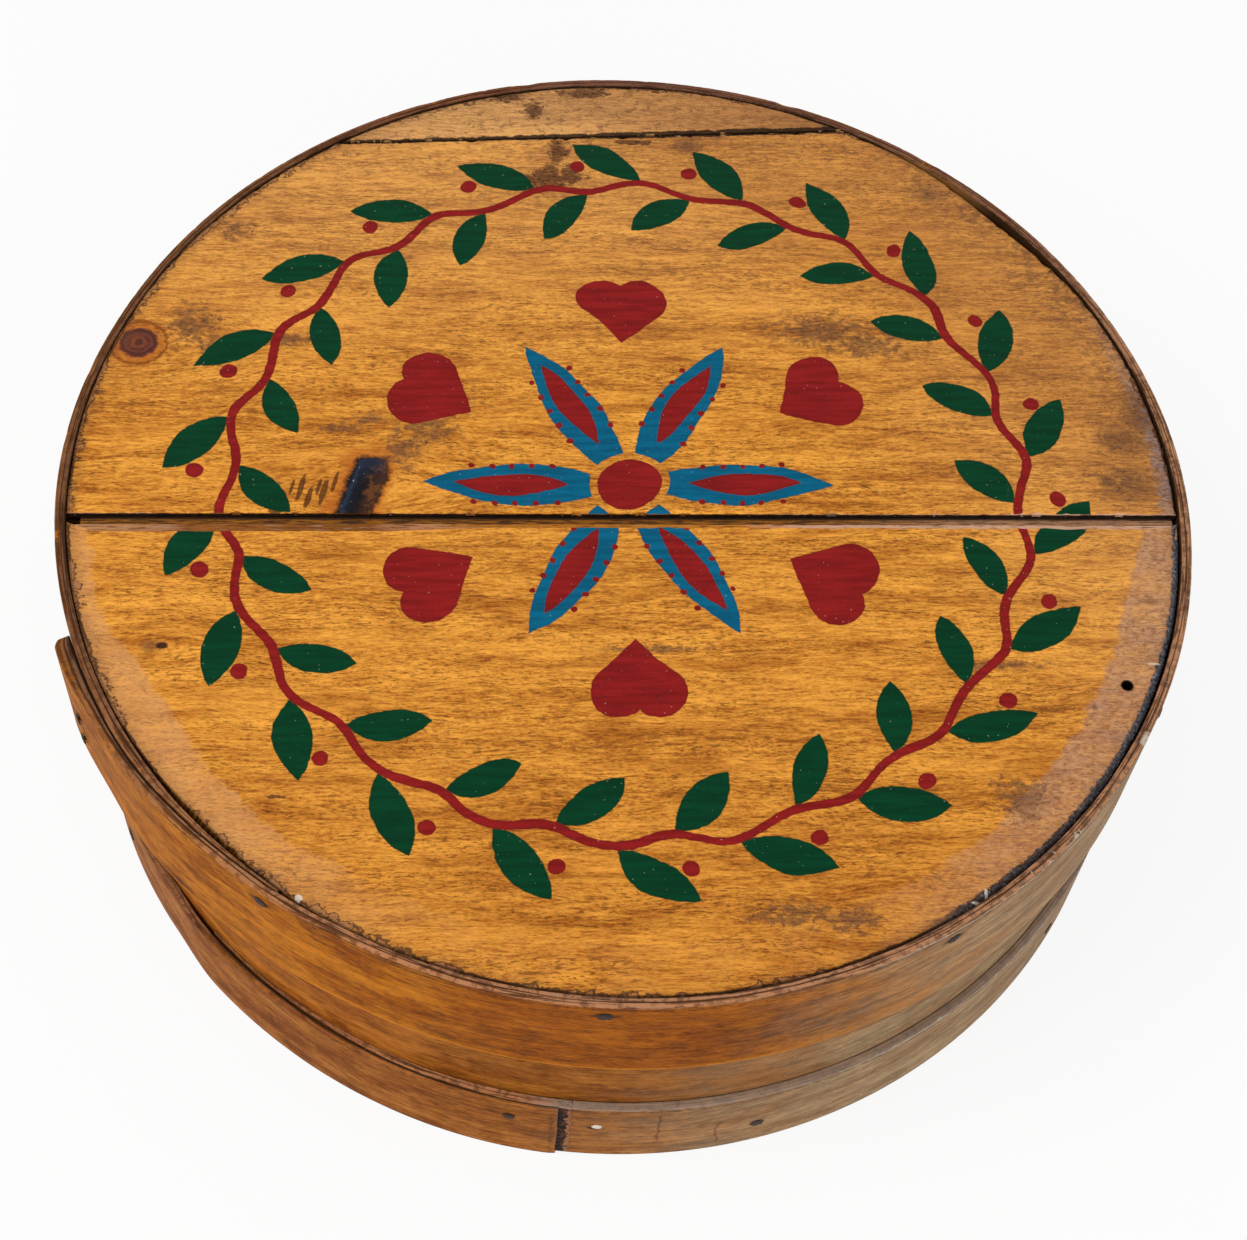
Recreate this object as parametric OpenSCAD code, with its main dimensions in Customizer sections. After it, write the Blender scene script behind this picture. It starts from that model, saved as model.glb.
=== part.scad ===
// Round bentwood hat box with a deep lift-off lid.
// The origin is on the surface the box stands on, under its centre. +Z is up, and the boards run along X.

/* [Lid] */
// Outside diameter of the lid rim where it is one layer thick
lid_diameter = 430; // [340:1:520]
// Height of the lid rim band
rim_height = 54; // [40:1:80]
// Thickness of the lid rim band
rim_thickness = 3.8; // [3:0.1:6]
// How far the rim stands above the lid boards
rim_lip = 1.5; // [0.5:0.1:4]
// Thickness of the lid boards
lid_board_thickness = 12; // [10:0.5:18]
// Distance from the centre forward to the middle of the front lid seam
front_seam_distance = 15.5; // [5:0.5:60]
// Open width of the front lid seam, where the boards have shrunk apart
front_seam_width = 4.2; // [0.5:0.1:5]
// Width of the narrow back lid board at its widest
back_board_width = 29.3; // [25:0.1:60]
// Turn of the back lid seam away from the front one, in degrees
back_seam_turn = 2.8; // [0:0.1:4]

/* [Box] */
// Height of the closed box
closed_height = 144; // [120:1:220]
// Thickness of the wall band
wall_thickness = 4.5; // [3.5:0.1:7]
// Height of the bottom hoop
hoop_height = 46; // [35:1:60]
// Thickness of the bottom hoop
hoop_thickness = 3.3; // [3:0.1:6]
// Thickness of the bottom boards
bottom_board_thickness = 12; // [10:0.5:18]
// How far the bottom boards sit above the lower edge
bottom_recess = 12; // [3:0.5:20]
// Width of the middle bottom board
bottom_board_width = 196; // [120:1:220]
// Distance from the centre forward to the front bottom seam
bottom_seam_distance = 100; // [60:1:110]

/* [Board joints] */
// Width of a closed seam between two boards
seam_width = 0.8; // [0.2:0.1:2]
// Thickness of a board's tongue
tongue_thickness = 4; // [3:0.1:5]
// Length of a board's tongue
tongue_length = 7; // [6:0.1:9]

/* [Bent bands] */
// Angle of the lid rim's outer end, in degrees from +X
rim_end_angle = -161.5; // [-180:0.5:-140]
// Thickness of the lid rim at its outer end
rim_end_thickness = 4.4; // [2:0.1:5]
// How far the lid rim's outer end has sprung away
rim_end_spring = 2; // [0:0.1:3]
// Length of the lid rim's lap
rim_lap = 130; // [80:1:180]
// Angle of the hoop's outer end, in degrees from +X
hoop_end_angle = -97.5; // [-120:0.5:-80]
// Thickness of the hoop at its outer end
hoop_end_thickness = 1; // [0.8:0.1:3]
// Length of the hoop's lap
hoop_lap = 150; // [80:1:180]
// How far the hoop's outer layer has sprung away at the far end of its lap
hoop_spring = 0.9; // [0:0.1:1.5]
// Angle of the wall's outer end, in degrees from +X
wall_end_angle = 80; // [60:0.5:120]
// Length of the wall's scarfed lap
wall_lap = 120; // [80:1:180]
// Thickness that is left at a feathered end
feather = 0.6; // [0.4:0.1:1]
// Length over which an outer layer settles back past the inner end
settle_length = 30; // [20:1:60]
// Length of full thickness at each end of the lid rim's lap, before its layers thin
full_length = 40; // [20:1:60]
// Length over which a sprung outer end comes back
spring_length = 50; // [30:1:80]

/* [Nails] */
// Diameter of a nail's head
nail_head = 5; // [3:0.1:6]
// Height of a nail's head
nail_head_height = 0.8; // [0.5:0.1:1.2]
// Diameter of a nail's shank
nail_shank = 1.8; // [1.2:0.1:2.5]
// Length of a nail that holds a band to the boards
nail_length = 22; // [18:0.5:30]
// Number of nails through the lid rim
rim_nail_count = 10; // [6:1:10]
// Angle of the first nail through the lid rim
rim_nail_angle = -127.5; // [-130:0.5:-110]
// Angle between the lid rim's nails
rim_nail_step = 33.5; // [20:0.5:33.5]
// Number of nails through the hoop
hoop_nail_count = 8; // [5:1:8]
// Angle of the first nail through the hoop
hoop_nail_angle = -77; // [-80:0.5:-60]
// Angle between the hoop's nails
hoop_nail_step = 40; // [25:0.5:40]
// Diameter of a tack's head
tack_head = 4.4; // [2.5:0.1:5]
// Height of a tack's head
tack_head_height = 0.6; // [0.4:0.1:0.9]
// Diameter of a tack's shank
tack_shank = 1.4; // [1:0.1:2]
// Distance of a lap's tacks from its outer end
tack_inset = 18; // [10:1:30]
// Distance between the two columns of tacks on the wall's lap
tack_spread = 80; // [40:1:90]
// Distance of the outermost tacks from a band's edges
tack_margin = 13; // [8:0.5:16]
// How far a tack bites into the inner layer of a lap
tack_bite = 1.6; // [1:0.1:2]
// Number of tacks at the outer end of the lid rim
rim_tack_rows = 2; // [1:1:4]
// Number of tacks at the outer end of the hoop
hoop_tack_rows = 1; // [1:1:3]
// Number of tacks in a column on the wall's lap
wall_tack_rows = 4; // [2:1:6]

/* [Clearances] */
// Gap all round between the wall and the lid rim
lid_clearance = 1.5; // [1:0.1:4]
// Gap between a ring of boards and its band
board_clearance = 0.3; // [0.1:0.05:0.6]
// Gap between the wall and the hoop
band_clearance = 0.2; // [0.1:0.05:0.5]
// Gap between the two layers of a lap
ply_gap = 0.2; // [0.1:0.05:0.5]
// Gap round a tongue in its groove, and past its end
groove_clearance = 0.3; // [0.1:0.05:0.6]
// Gap round a nail in its hole, and under its head
nail_clearance = 0.05; // [0.02:0.01:0.1]

/* [Hidden] */

// Radii, from the lid rim inward and out again to the hoop
rim_radius = lid_diameter / 2 - rim_thickness;
lid_board_radius = rim_radius - board_clearance;
wall_outer_radius = rim_radius - lid_clearance;
wall_radius = wall_outer_radius - wall_thickness;
bottom_board_radius = wall_radius - board_clearance;
hoop_radius = wall_outer_radius + band_clearance;

// Heights
lid_board_top = closed_height - rim_lip;
lid_board_low = lid_board_top - lid_board_thickness;
wall_height = lid_board_low;
rim_low = closed_height - rim_height;
lid_nail_height = lid_board_low + lid_board_thickness / 2;
bottom_nail_height = bottom_recess + bottom_board_thickness / 2;

// Seams as [distance back from the centre, turn, open width]
lid_front_seam = [-front_seam_distance, 0, front_seam_width];
lid_back_seam = [lid_board_radius - back_board_width, back_seam_turn, seam_width];
bottom_front_seam = [-bottom_seam_distance, 0, seam_width];
bottom_back_seam = [bottom_board_width - bottom_seam_distance, 0, seam_width];
groove_depth = tongue_length + groove_clearance;
groove_thickness = tongue_thickness + 2 * groove_clearance;

// A band holds its inner radius, thickness, height, outer end's angle, way round from that end,
// thickness at that end, lap length, spring at the lap's far end, whether its lap is scarfed flush,
// length of full thickness at the lap's ends, and spring at the outer end
rim = [
    rim_radius, rim_thickness, rim_height, rim_end_angle, 1, rim_end_thickness, rim_lap,
    0, false, full_length, rim_end_spring
];
hoop = [
    hoop_radius, hoop_thickness, hoop_height, hoop_end_angle, -1, hoop_end_thickness, hoop_lap,
    hoop_spring, false, 0, 0
];
wall = [
    wall_radius, wall_thickness, wall_height, wall_end_angle, 1, feather, wall_lap,
    0, true, 0, 0
];

// Degrees between a band outline's points
band_step = 2;
// Facets of the round boards, and of nails and their holes
round_facets = 180;
pin_facets = 24;
// How far a cut runs past what it cuts, and a tongue into its own board
past = 1;
// Longer than any board
reach = lid_diameter;

function radius_of(band) = band[0];
function thickness_of(band) = band[1];
function height_of(band) = band[2];
function end_angle_of(band) = band[3];
function way_of(band) = band[4];
function end_thickness_of(band) = band[5];
function lap_of(band) = band[6];
function spring_of(band) = band[7];
function flush(band) = band[8];
function full_length_of(band) = band[9];
function end_spring_of(band) = band[10];

// The angle that a length along a band spans
function span(band, length) = length / radius_of(band) * 180 / PI;
function lap_span(band) = span(band, lap_of(band));

// A smooth step from 0 to 1
function ease(x) = let (c = min(1, max(0, x))) c * c * (3 - 2 * c);

// How far along a band an angle lies from the outer end, from 0 to 360
function travel(band, angle) = let (t = way_of(band) * (angle - end_angle_of(band))) t - 360 * floor(t / 360);

// How far the lap's layers have thinned at a travel past the outer end
function thinning(band, t) =
    let (full = span(band, full_length_of(band)))
    ease((t - full) / (lap_span(band) - full));

// Depth of the inner layer at a travel past the outer end that lies over it
function under_depth(band, t) =
    let (most = thickness_of(band) - (flush(band) ? feather + ply_gap : 0))
    most + (feather - most) * thinning(band, t);

// How far the outer layer is lifted off the band's inner radius
function lift(band, t) =
    let (
        lap = lap_span(band),
        end_gap = end_spring_of(band) * (1 - ease(t / span(band, spring_length))),
        gap = ply_gap + spring_of(band) * ease(t / lap) + end_gap,
        settled = ease((t - lap) / span(band, settle_length))
    )
    (under_depth(band, min(t, lap)) + gap) * (1 - settled);

// Depth of the outer layer, which thins toward its own end
function over_depth(band, t) =
    let (
        full = thickness_of(band),
        end = end_thickness_of(band),
        growth = full_length_of(band) > 0 ? full_length_of(band) : lap_of(band)
    )
    flush(band) ? full - lift(band, t) : end + (full - end) * ease(t / span(band, growth));

// Outer face's radius at an angle
function outer_radius(band, angle) =
    let (t = travel(band, angle))
    radius_of(band) + lift(band, t) + over_depth(band, t);

// A point above the base of a band's inner face, at a travel past its outer end
function band_point(band, above, t) =
    let (angle = end_angle_of(band) + way_of(band) * t, radius = radius_of(band) + above)
    [radius * cos(angle), radius * sin(angle)];

// A bent band seen from above: once round, then on under its own outer end
module band_outline(band) {
    lap = lap_span(band);
    once_round = [for (t = [0 : band_step : 360 - band_step / 2]) t];
    tucked_under = concat([for (t = [0 : band_step : lap - band_step / 2]) t], lap);
    outer_face = concat(
        [for (t = once_round) band_point(band, lift(band, t) + over_depth(band, t), t)],
        [for (t = tucked_under) band_point(band, under_depth(band, t), t)]
    );
    inner_face = concat(
        [for (t = once_round) band_point(band, lift(band, t), t)],
        [for (t = tucked_under) band_point(band, 0, t)]
    );
    polygon(concat(outer_face, [for (i = [len(inner_face) - 1 : -1 : 0]) inner_face[i]]));
}

module lapped_band(band, low) {
    translate([0, 0, low])
        linear_extrude(height_of(band))
            band_outline(band);
}

// Stands its children on a band's outer face, with their +Z pointing out and their head clear of any slope
module on_band(band, angle, z, head) {
    side = span(band, head / 2);
    seat = max([for (a = [angle - side, angle, angle + side]) outer_radius(band, a)]);
    rotate([0, 0, angle])
        translate([seat + nail_clearance, 0, z])
            rotate([0, 90, 0])
                children();
}

module nail(head, head_height, shank, length) {
    rotate_extrude($fn = pin_facets)
        polygon([
            [0, head_height],
            [head / 4, head_height],
            [head / 2, head_height / 2],
            [head / 2, 0],
            [shank / 2, 0],
            [shank / 2, shank - length],
            [0, -length]
        ]);
}

module nail_hole(shank, length) {
    translate([0, 0, -length - nail_clearance])
        cylinder(d = shank + 2 * nail_clearance, h = length + past, $fn = pin_facets);
}

module at_rim_nails() {
    for (i = [0 : rim_nail_count - 1])
        on_band(rim, rim_nail_angle + i * rim_nail_step, lid_nail_height, nail_head)
            children();
}

module at_bottom_nails() {
    for (i = [0 : hoop_nail_count - 1])
        on_band(hoop, hoop_nail_angle + i * hoop_nail_step, bottom_nail_height, nail_head)
            children();
}

// Heights of a column of tacks from the top down
function tack_heights(low, high, rows) =
    let (pitch = rows > 1 ? (high - low - 2 * tack_margin) / (rows - 1) : 0)
    [for (row = [0 : rows - 1]) high - tack_margin - row * pitch];

// Columns of tacks across a lap, at lengths along it from its outer end
module at_lap_tacks(band, columns, heights) {
    for (along = columns)
        for (z = heights)
            on_band(band, end_angle_of(band) + way_of(band) * span(band, along), z, tack_head)
                children();
}

module at_rim_tacks() {
    at_lap_tacks(rim, [tack_inset], tack_heights(rim_low, lid_board_low, rim_tack_rows))
        children();
}

module at_hoop_tacks() {
    at_lap_tacks(hoop, [tack_inset], tack_heights(0, hoop_height, hoop_tack_rows))
        children();
}

module at_wall_tacks() {
    columns = [tack_inset, tack_inset + tack_spread];
    at_lap_tacks(wall, columns, tack_heights(hoop_height, wall_height, wall_tack_rows))
        children();
}

module tack(length) {
    nail(tack_head, tack_head_height, tack_shank, length);
}

module tack_hole(length) {
    nail_hole(tack_shank, length);
}

// A tack through a lap's outer layer stops inside the inner one
function tack_length(band) =
    let (t = span(band, tack_inset))
    lift(band, t) + over_depth(band, t) - under_depth(band, t) + tack_bite;

// A tack through the wall's flush lap stops short of its inner face
wall_tack_length = wall_thickness - feather;

// The half of a disc behind a seam, or in front of it where side is -1
module half_disc(seam, side, low, thickness) {
    edge = seam[0] + side * seam[2] / 2;
    rotate([0, 0, seam[1]])
        translate([-reach, side > 0 ? edge : edge - reach, low])
            cube([2 * reach, reach, thickness]);
}

// A straight bar along a seam, from a start behind the seam's middle, as a tongue or to cut a groove
module seam_bar(seam, start, width, low, thickness) {
    rotate([0, 0, seam[1]])
        translate([-reach, seam[0] + start, low])
            cube([2 * reach, width, thickness]);
}

module disc(radius, low, thickness) {
    translate([0, 0, low])
        cylinder(r = radius, h = thickness, $fn = round_facets);
}

// The tongue of the board in front of a seam, on that board's back edge
module tongue(seam, low, thickness) {
    seam_bar(seam, -seam[2] / 2 - past, tongue_length + past, low + (thickness - tongue_thickness) / 2,
        tongue_thickness);
}

// The groove of the board behind a seam, in that board's front edge
module groove(seam, low, thickness) {
    seam_bar(seam, seam[2] / 2 - past, groove_depth + past, low + (thickness - groove_thickness) / 2,
        groove_thickness);
}

// The three boards of a round panel
module front_board(radius, low, thickness, seam) {
    intersection() {
        disc(radius, low, thickness);
        union() {
            half_disc(seam, -1, low, thickness);
            tongue(seam, low, thickness);
        }
    }
}

module middle_board(radius, low, thickness, front_seam, back_seam) {
    difference() {
        intersection() {
            disc(radius, low, thickness);
            half_disc(front_seam, 1, low, thickness);
            union() {
                half_disc(back_seam, -1, low, thickness);
                tongue(back_seam, low, thickness);
            }
        }
        groove(front_seam, low, thickness);
    }
}

module back_board(radius, low, thickness, seam) {
    difference() {
        intersection() {
            disc(radius, low, thickness);
            half_disc(seam, 1, low, thickness);
        }
        groove(seam, low, thickness);
    }
}

module rim_nail_holes() {
    at_rim_nails()
        nail_hole(nail_shank, nail_length);
}

module bottom_nail_holes() {
    at_bottom_nails()
        nail_hole(nail_shank, nail_length);
}

module lid_board_front() {
    color("#c98a35")
        difference() {
            front_board(lid_board_radius, lid_board_low, lid_board_thickness, lid_front_seam);
            rim_nail_holes();
        }
}

module lid_board_middle() {
    color("#c4852f")
        difference() {
            middle_board(lid_board_radius, lid_board_low, lid_board_thickness, lid_front_seam, lid_back_seam);
            rim_nail_holes();
        }
}

module lid_board_back() {
    color("#b6844f")
        difference() {
            back_board(lid_board_radius, lid_board_low, lid_board_thickness, lid_back_seam);
            rim_nail_holes();
        }
}

module lid_rim_band() {
    color("#9a5f24")
        difference() {
            lapped_band(rim, rim_low);
            rim_nail_holes();
            at_rim_tacks()
                tack_hole(tack_length(rim));
        }
}

module lid_rim_nails() {
    color("#3a2a20")
        at_rim_nails()
            nail(nail_head, nail_head_height, nail_shank, nail_length);
}

module lid_lap_tacks() {
    color("#3a2a20")
        at_rim_tacks()
            tack(tack_length(rim));
}

module wall_band() {
    color("#8a5a2c")
        difference() {
            lapped_band(wall, 0);
            bottom_nail_holes();
            at_wall_tacks()
                tack_hole(wall_tack_length);
        }
}

module wall_lap_tacks() {
    color("#3a2a20")
        at_wall_tacks()
            tack(wall_tack_length);
}

module bottom_board_front() {
    color("#b98d55")
        difference() {
            front_board(bottom_board_radius, bottom_recess, bottom_board_thickness, bottom_front_seam);
            bottom_nail_holes();
        }
}

module bottom_board_middle() {
    color("#b4884f")
        difference() {
            middle_board(bottom_board_radius, bottom_recess, bottom_board_thickness, bottom_front_seam,
                bottom_back_seam);
            bottom_nail_holes();
        }
}

module bottom_board_back() {
    color("#ae834d")
        difference() {
            back_board(bottom_board_radius, bottom_recess, bottom_board_thickness, bottom_back_seam);
            bottom_nail_holes();
        }
}

module bottom_hoop() {
    color("#90602f")
        difference() {
            lapped_band(hoop, 0);
            bottom_nail_holes();
            at_hoop_tacks()
                tack_hole(tack_length(hoop));
        }
}

module hoop_lap_tacks() {
    color("#3a2a20")
        at_hoop_tacks()
            tack(tack_length(hoop));
}

module bottom_nails() {
    color("#3a2a20")
        at_bottom_nails()
            nail(nail_head, nail_head_height, nail_shank, nail_length);
}

lid_board_front();
lid_board_middle();
lid_board_back();
lid_rim_band();
lid_rim_nails();
lid_lap_tacks();
wall_band();
wall_lap_tacks();
bottom_board_front();
bottom_board_middle();
bottom_board_back();
bottom_hoop();
hoop_lap_tacks();
bottom_nails();
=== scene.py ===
"""Round hat box of bent wood bands and pine boards, with a painted lift-off lid.

Blender lengths are in metres. Inside the finishes all lengths are in millimetres.
X runs along the grain of the boards, Y to the back of the box and Z up.
"""

from functools import partial, reduce
from math import atan2, cos, exp, hypot, pi, radians, sin, tau

import bmesh
import bpy
from bpy.props import BoolProperty, FloatProperty, FloatVectorProperty, IntProperty, PointerProperty
from mathutils import Color, Matrix, Vector, noise


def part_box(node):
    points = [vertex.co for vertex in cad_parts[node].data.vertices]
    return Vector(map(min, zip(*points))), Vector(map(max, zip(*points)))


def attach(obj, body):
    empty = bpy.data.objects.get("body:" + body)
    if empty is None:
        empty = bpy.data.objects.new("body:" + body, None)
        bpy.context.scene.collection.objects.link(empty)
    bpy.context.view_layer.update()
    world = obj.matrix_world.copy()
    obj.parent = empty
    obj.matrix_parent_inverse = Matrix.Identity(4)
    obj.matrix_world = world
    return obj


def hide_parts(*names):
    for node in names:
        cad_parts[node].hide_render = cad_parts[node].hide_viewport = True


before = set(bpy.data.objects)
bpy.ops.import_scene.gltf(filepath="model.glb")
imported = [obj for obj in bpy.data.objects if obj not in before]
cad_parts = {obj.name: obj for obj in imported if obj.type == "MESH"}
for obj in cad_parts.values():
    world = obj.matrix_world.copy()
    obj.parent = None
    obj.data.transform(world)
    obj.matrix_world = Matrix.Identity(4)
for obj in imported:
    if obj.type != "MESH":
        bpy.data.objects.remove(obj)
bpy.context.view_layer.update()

bl_info = {
    "name": "Wooden Hat Box",
    "version": (1, 0, 0),
    "blender": (4, 5, 0),
    "location": "3D View > Sidebar > Hat Box",
    "description": "Builds a round bent-wood hat box with a painted lid",
    "category": "Add Mesh",
}

MM = 0.001
TOUCH = 0.001 * MM

# What all the bent bands share
SETTLE_LENGTH = 30 * MM
SPRING_LENGTH = 50 * MM
FEATHER = 0.6 * MM
PLY_GAP = 0.2 * MM
ROUNDED_END = 4 * MM
BAND_BEVEL = 0.45 * MM
FRAY_REACH = 2.6 * MM
THIN_BACK = 0.16


def length(name, description, default):
    return FloatProperty(
        name=name, description=description, default=default, unit="LENGTH", precision=4
    )


def turn(name, description, degrees):
    return FloatProperty(
        name=name, description=description, default=radians(degrees), subtype="ANGLE"
    )


def shade(name, description, red, green, blue):
    return FloatVectorProperty(
        name=name.replace("_", " ").capitalize(),
        description=description,
        default=(red / 255, green / 255, blue / 255),
        size=3,
        min=0.0,
        max=1.0,
        subtype="COLOR_GAMMA",
    )


def band_sizes(
    node,
    radius,
    thickness,
    end,
    way,
    end_thickness,
    lap,
    fray,
    spring=0,
    flush=False,
    full=0,
    end_spring=0,
    dip=0,
):
    """The sizes of one bent band; its height comes from the packed solid."""
    low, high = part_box(node)
    return {
        "radius": length("Inner radius", "Radius of the band's inner face", radius * MM),
        "thickness": length("Thickness", "Thickness of the wood", thickness * MM),
        "low": length("Lower edge", "Height of the lower edge", low.z),
        "high": length("Upper edge", "Height of the upper edge", high.z),
        "end": turn("Outer end", "Angle of the outer end, from +X", end),
        "way": IntProperty(
            name="Way", description="1 or -1, the way round from the outer end", default=way
        ),
        "end_thickness": length("End thickness", "Thickness at the outer end", end_thickness * MM),
        "lap": length("Lap", "Length of the overlap", lap * MM),
        "spring": length("Spring", "How far the lap has sprung open", spring * MM),
        "flush": BoolProperty(name="Flush", description="The lap is scarfed flush", default=flush),
        "full": length("Full length", "Length of full thickness at the lap's ends", full * MM),
        "end_spring": length("End spring", "How far the outer end springs away", end_spring * MM),
        "fray": length("Fray", "Depth of the chips along the edges", fray * MM),
        "dip": length("Dip", "How far the upper edge is worn down at the back", dip * MM),
    }


def panel_sizes(node, radius, front, front_gap, back, back_turn, back_gap):
    """The sizes of a round panel of three boards; its heights come from the packed solid."""
    low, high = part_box(node)
    return {
        "radius": length("Radius", "Radius of the boards", radius * MM),
        "low": length("Underside", "Height of the underside", low.z),
        "high": length("Face", "Height of the upper face", high.z),
        "front": length("Front seam", "Place of the front seam, back from the centre", front * MM),
        "front_gap": length("Front gap", "Width of the open front seam", front_gap * MM),
        "back": length("Back seam", "Place of the back seam, back from the centre", back * MM),
        "back_turn": turn("Back turn", "Turn of the back seam away from the front one", back_turn),
        "back_gap": length("Back gap", "Width of the back seam", back_gap * MM),
        "tongue": length("Tongue", "Thickness of the tongues", 4 * MM),
        "tongue_reach": length("Tongue reach", "Length of the tongues", 7 * MM),
        "play": length("Play", "Gap round a tongue in its groove", 0.3 * MM),
    }


class RimSizes(bpy.types.PropertyGroup):
    """The deep rim of the lid"""

    __annotations__ = band_sizes(
        "lid_rim_band",
        211.2,
        3.8,
        end=-161.5,
        way=1,
        end_thickness=6.4,
        lap=130,
        fray=1.3,
        full=40,
        end_spring=-0.1,
        dip=1.3,
    )


class WallSizes(bpy.types.PropertyGroup):
    """The wall of the box"""

    __annotations__ = band_sizes(
        "wall_band", 205.2, 4.5, end=80, way=1, end_thickness=0.6, lap=120, fray=0.4, flush=True
    )


class HoopSizes(bpy.types.PropertyGroup):
    """The hoop round the foot of the box"""

    __annotations__ = band_sizes(
        "bottom_hoop", 209.9, 3.3, end=-97.5, way=-1, end_thickness=1, lap=150, fray=0.8, spring=0.9
    )


class LidSizes(bpy.types.PropertyGroup):
    """The three boards of the lid"""

    __annotations__ = panel_sizes(
        "lid_board_middle",
        210.9,
        front=-15.5,
        front_gap=4.2,
        back=181.6,
        back_turn=2.8,
        back_gap=0.8,
    )


class BottomSizes(bpy.types.PropertyGroup):
    """The three boards of the bottom"""

    __annotations__ = panel_sizes(
        "bottom_board_middle",
        204.9,
        front=-100,
        front_gap=0.8,
        back=96,
        back_turn=0,
        back_gap=0.8,
    )


class NailSizes(bpy.types.PropertyGroup):
    """Nails and tacks"""

    nail_head: length("Nail head", "Diameter of a nail's head", 5.2 * MM)
    nail_rise: length("Nail rise", "Height of a nail's head", 0.4 * MM)
    nail_length: length("Nail length", "Length of a nail under its head", 22 * MM)
    tack_head: length("Tack head", "Diameter of a tack's head", 4.6 * MM)
    tack_rise: length("Tack rise", "Height of a tack's head", 0.6 * MM)
    tack_length: length("Tack length", "Length of a tack under its head", 4 * MM)


COLOURS = {
    "honey": ("Varnished pine, the light wood", 226, 154, 60),
    "amber": ("Varnished pine, the middle tone", 198, 124, 42),
    "umber": ("Varnished pine, the dark bands", 150, 89, 35),
    "wash": ("Tint of the darker areas of the pine", 208, 188, 176),
    "fleck": ("Short dark marks in the pine", 92, 54, 24),
    "pale_left": ("Pine rubbed bare at the left edge", 212, 152, 96),
    "pale_front": ("Pine rubbed bare at the front edge", 210, 142, 74),
    "pale_right": ("Pine rubbed bare at the right edge", 190, 148, 120),
    "dry": ("The paler board at the back", 206, 156, 102),
    "smoke": ("Grey-brown dirt in the grain", 110, 73, 50),
    "raw": ("Bare wood inside", 190, 142, 90),
    "raw_dark": ("Dark lines in bare wood", 142, 98, 58),
    "rim": ("Rim of the lid, middle tone", 165, 94, 8),
    "rim_dark": ("Rim of the lid, dark lines", 102, 55, 10),
    "rim_light": ("Rim of the lid, light lines", 196, 119, 22),
    "wall": ("Wall, middle tone", 136, 78, 22),
    "wall_dark": ("Wall, dark lines", 98, 52, 14),
    "wall_light": ("Wall, light lines", 162, 98, 36),
    "hoop": ("Hoop, middle tone", 144, 80, 18),
    "hoop_dark": ("Hoop, dark lines", 100, 54, 14),
    "hoop_light": ("Hoop, light lines", 178, 112, 46),
    "weathered": ("Bent wood gone grey on the right", 168, 142, 108),
    "worn": ("Edges rubbed bare", 184, 127, 88),
    "worn_dark": ("Dirty layers of a rubbed edge", 86, 51, 34),
    # This colour also paints shadow in gaps, under edges and beside a chip
    "dirt": ("Old dirt in seams and along edges", 66, 42, 24),
    "soot": ("The darkest gaps and stains", 30, 22, 18),
    # This colour also paints highlights: the glints on the pitch
    "slate": ("Grey filler along the right edge", 76, 80, 88),
    "chalk": ("White chips and specks", 224, 214, 198),
    "resin": ("Pitch of a knot", 6, 9, 16),
    "sheen": ("Blue sheen on the pitch", 36, 46, 68),
    "halo": ("Wood stained round a knot", 176, 92, 30),
    "knot": ("Dark rings of a sound knot", 84, 44, 38),
    "blue": ("Blue paint", 6, 92, 124),
    "red": ("Red paint", 134, 26, 26),
    "green": ("Green paint", 2, 56, 32),
    "iron": ("Old iron", 44, 32, 26),
    "rust": ("Rust on the iron", 66, 40, 26),
    "floor": ("Pale floor", 253, 253, 253),
}


class Colours(bpy.types.PropertyGroup):
    """The woods, paints and iron"""

    __annotations__ = {name: shade(name, *row) for name, row in COLOURS.items()}


GROUPS = {
    "rim": RimSizes,
    "wall": WallSizes,
    "hoop": HoopSizes,
    "lid": LidSizes,
    "bottom": BottomSizes,
    "nails": NailSizes,
    "colours": Colours,
}


class HatBoxSettings(bpy.types.PropertyGroup):
    """All the settings of the hat box"""

    __annotations__ = {
        key: PointerProperty(type=group, name=key.title(), description=group.__doc__)
        for key, group in GROUPS.items()
    }


# Shader maths


def operation(name, swapped=False):
    """An operator method that adds one Math node."""

    def apply(self, other):
        pair = (other, self) if swapped else (self, other)
        return self.finish.math(name, *pair)

    return apply


class Wire:
    """A socket of a finish; arithmetic on it adds Math nodes."""

    def __init__(self, finish, socket):
        self.finish = finish
        self.socket = socket

    def out(self, key):
        return Wire(self.finish, self.socket.node.outputs[key])

    def __abs__(self):
        return self.finish.math("ABSOLUTE", self)

    def stain(self, colour, share, light=1.0):
        """This colour with a share of another laid over it."""
        return self.finish.mix(self, self.finish.colour(colour, light), share)

    def coats(self, *rows):
        """This colour with several others laid over it in turn."""
        colour = self
        for row in rows:
            colour = colour.stain(*row)
        return colour

    def tint(self, colour, share, light=1.0):
        """This colour with a share of it multiplied by another."""
        return self.finish.mix(self, self.finish.colour(colour, light), share, "MULTIPLY")

    __add__ = operation("ADD")
    __radd__ = operation("ADD", True)
    __sub__ = operation("SUBTRACT")
    __rsub__ = operation("SUBTRACT", True)
    __mul__ = operation("MULTIPLY")
    __rmul__ = operation("MULTIPLY", True)
    __truediv__ = operation("DIVIDE")
    __rtruediv__ = operation("DIVIDE", True)


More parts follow.
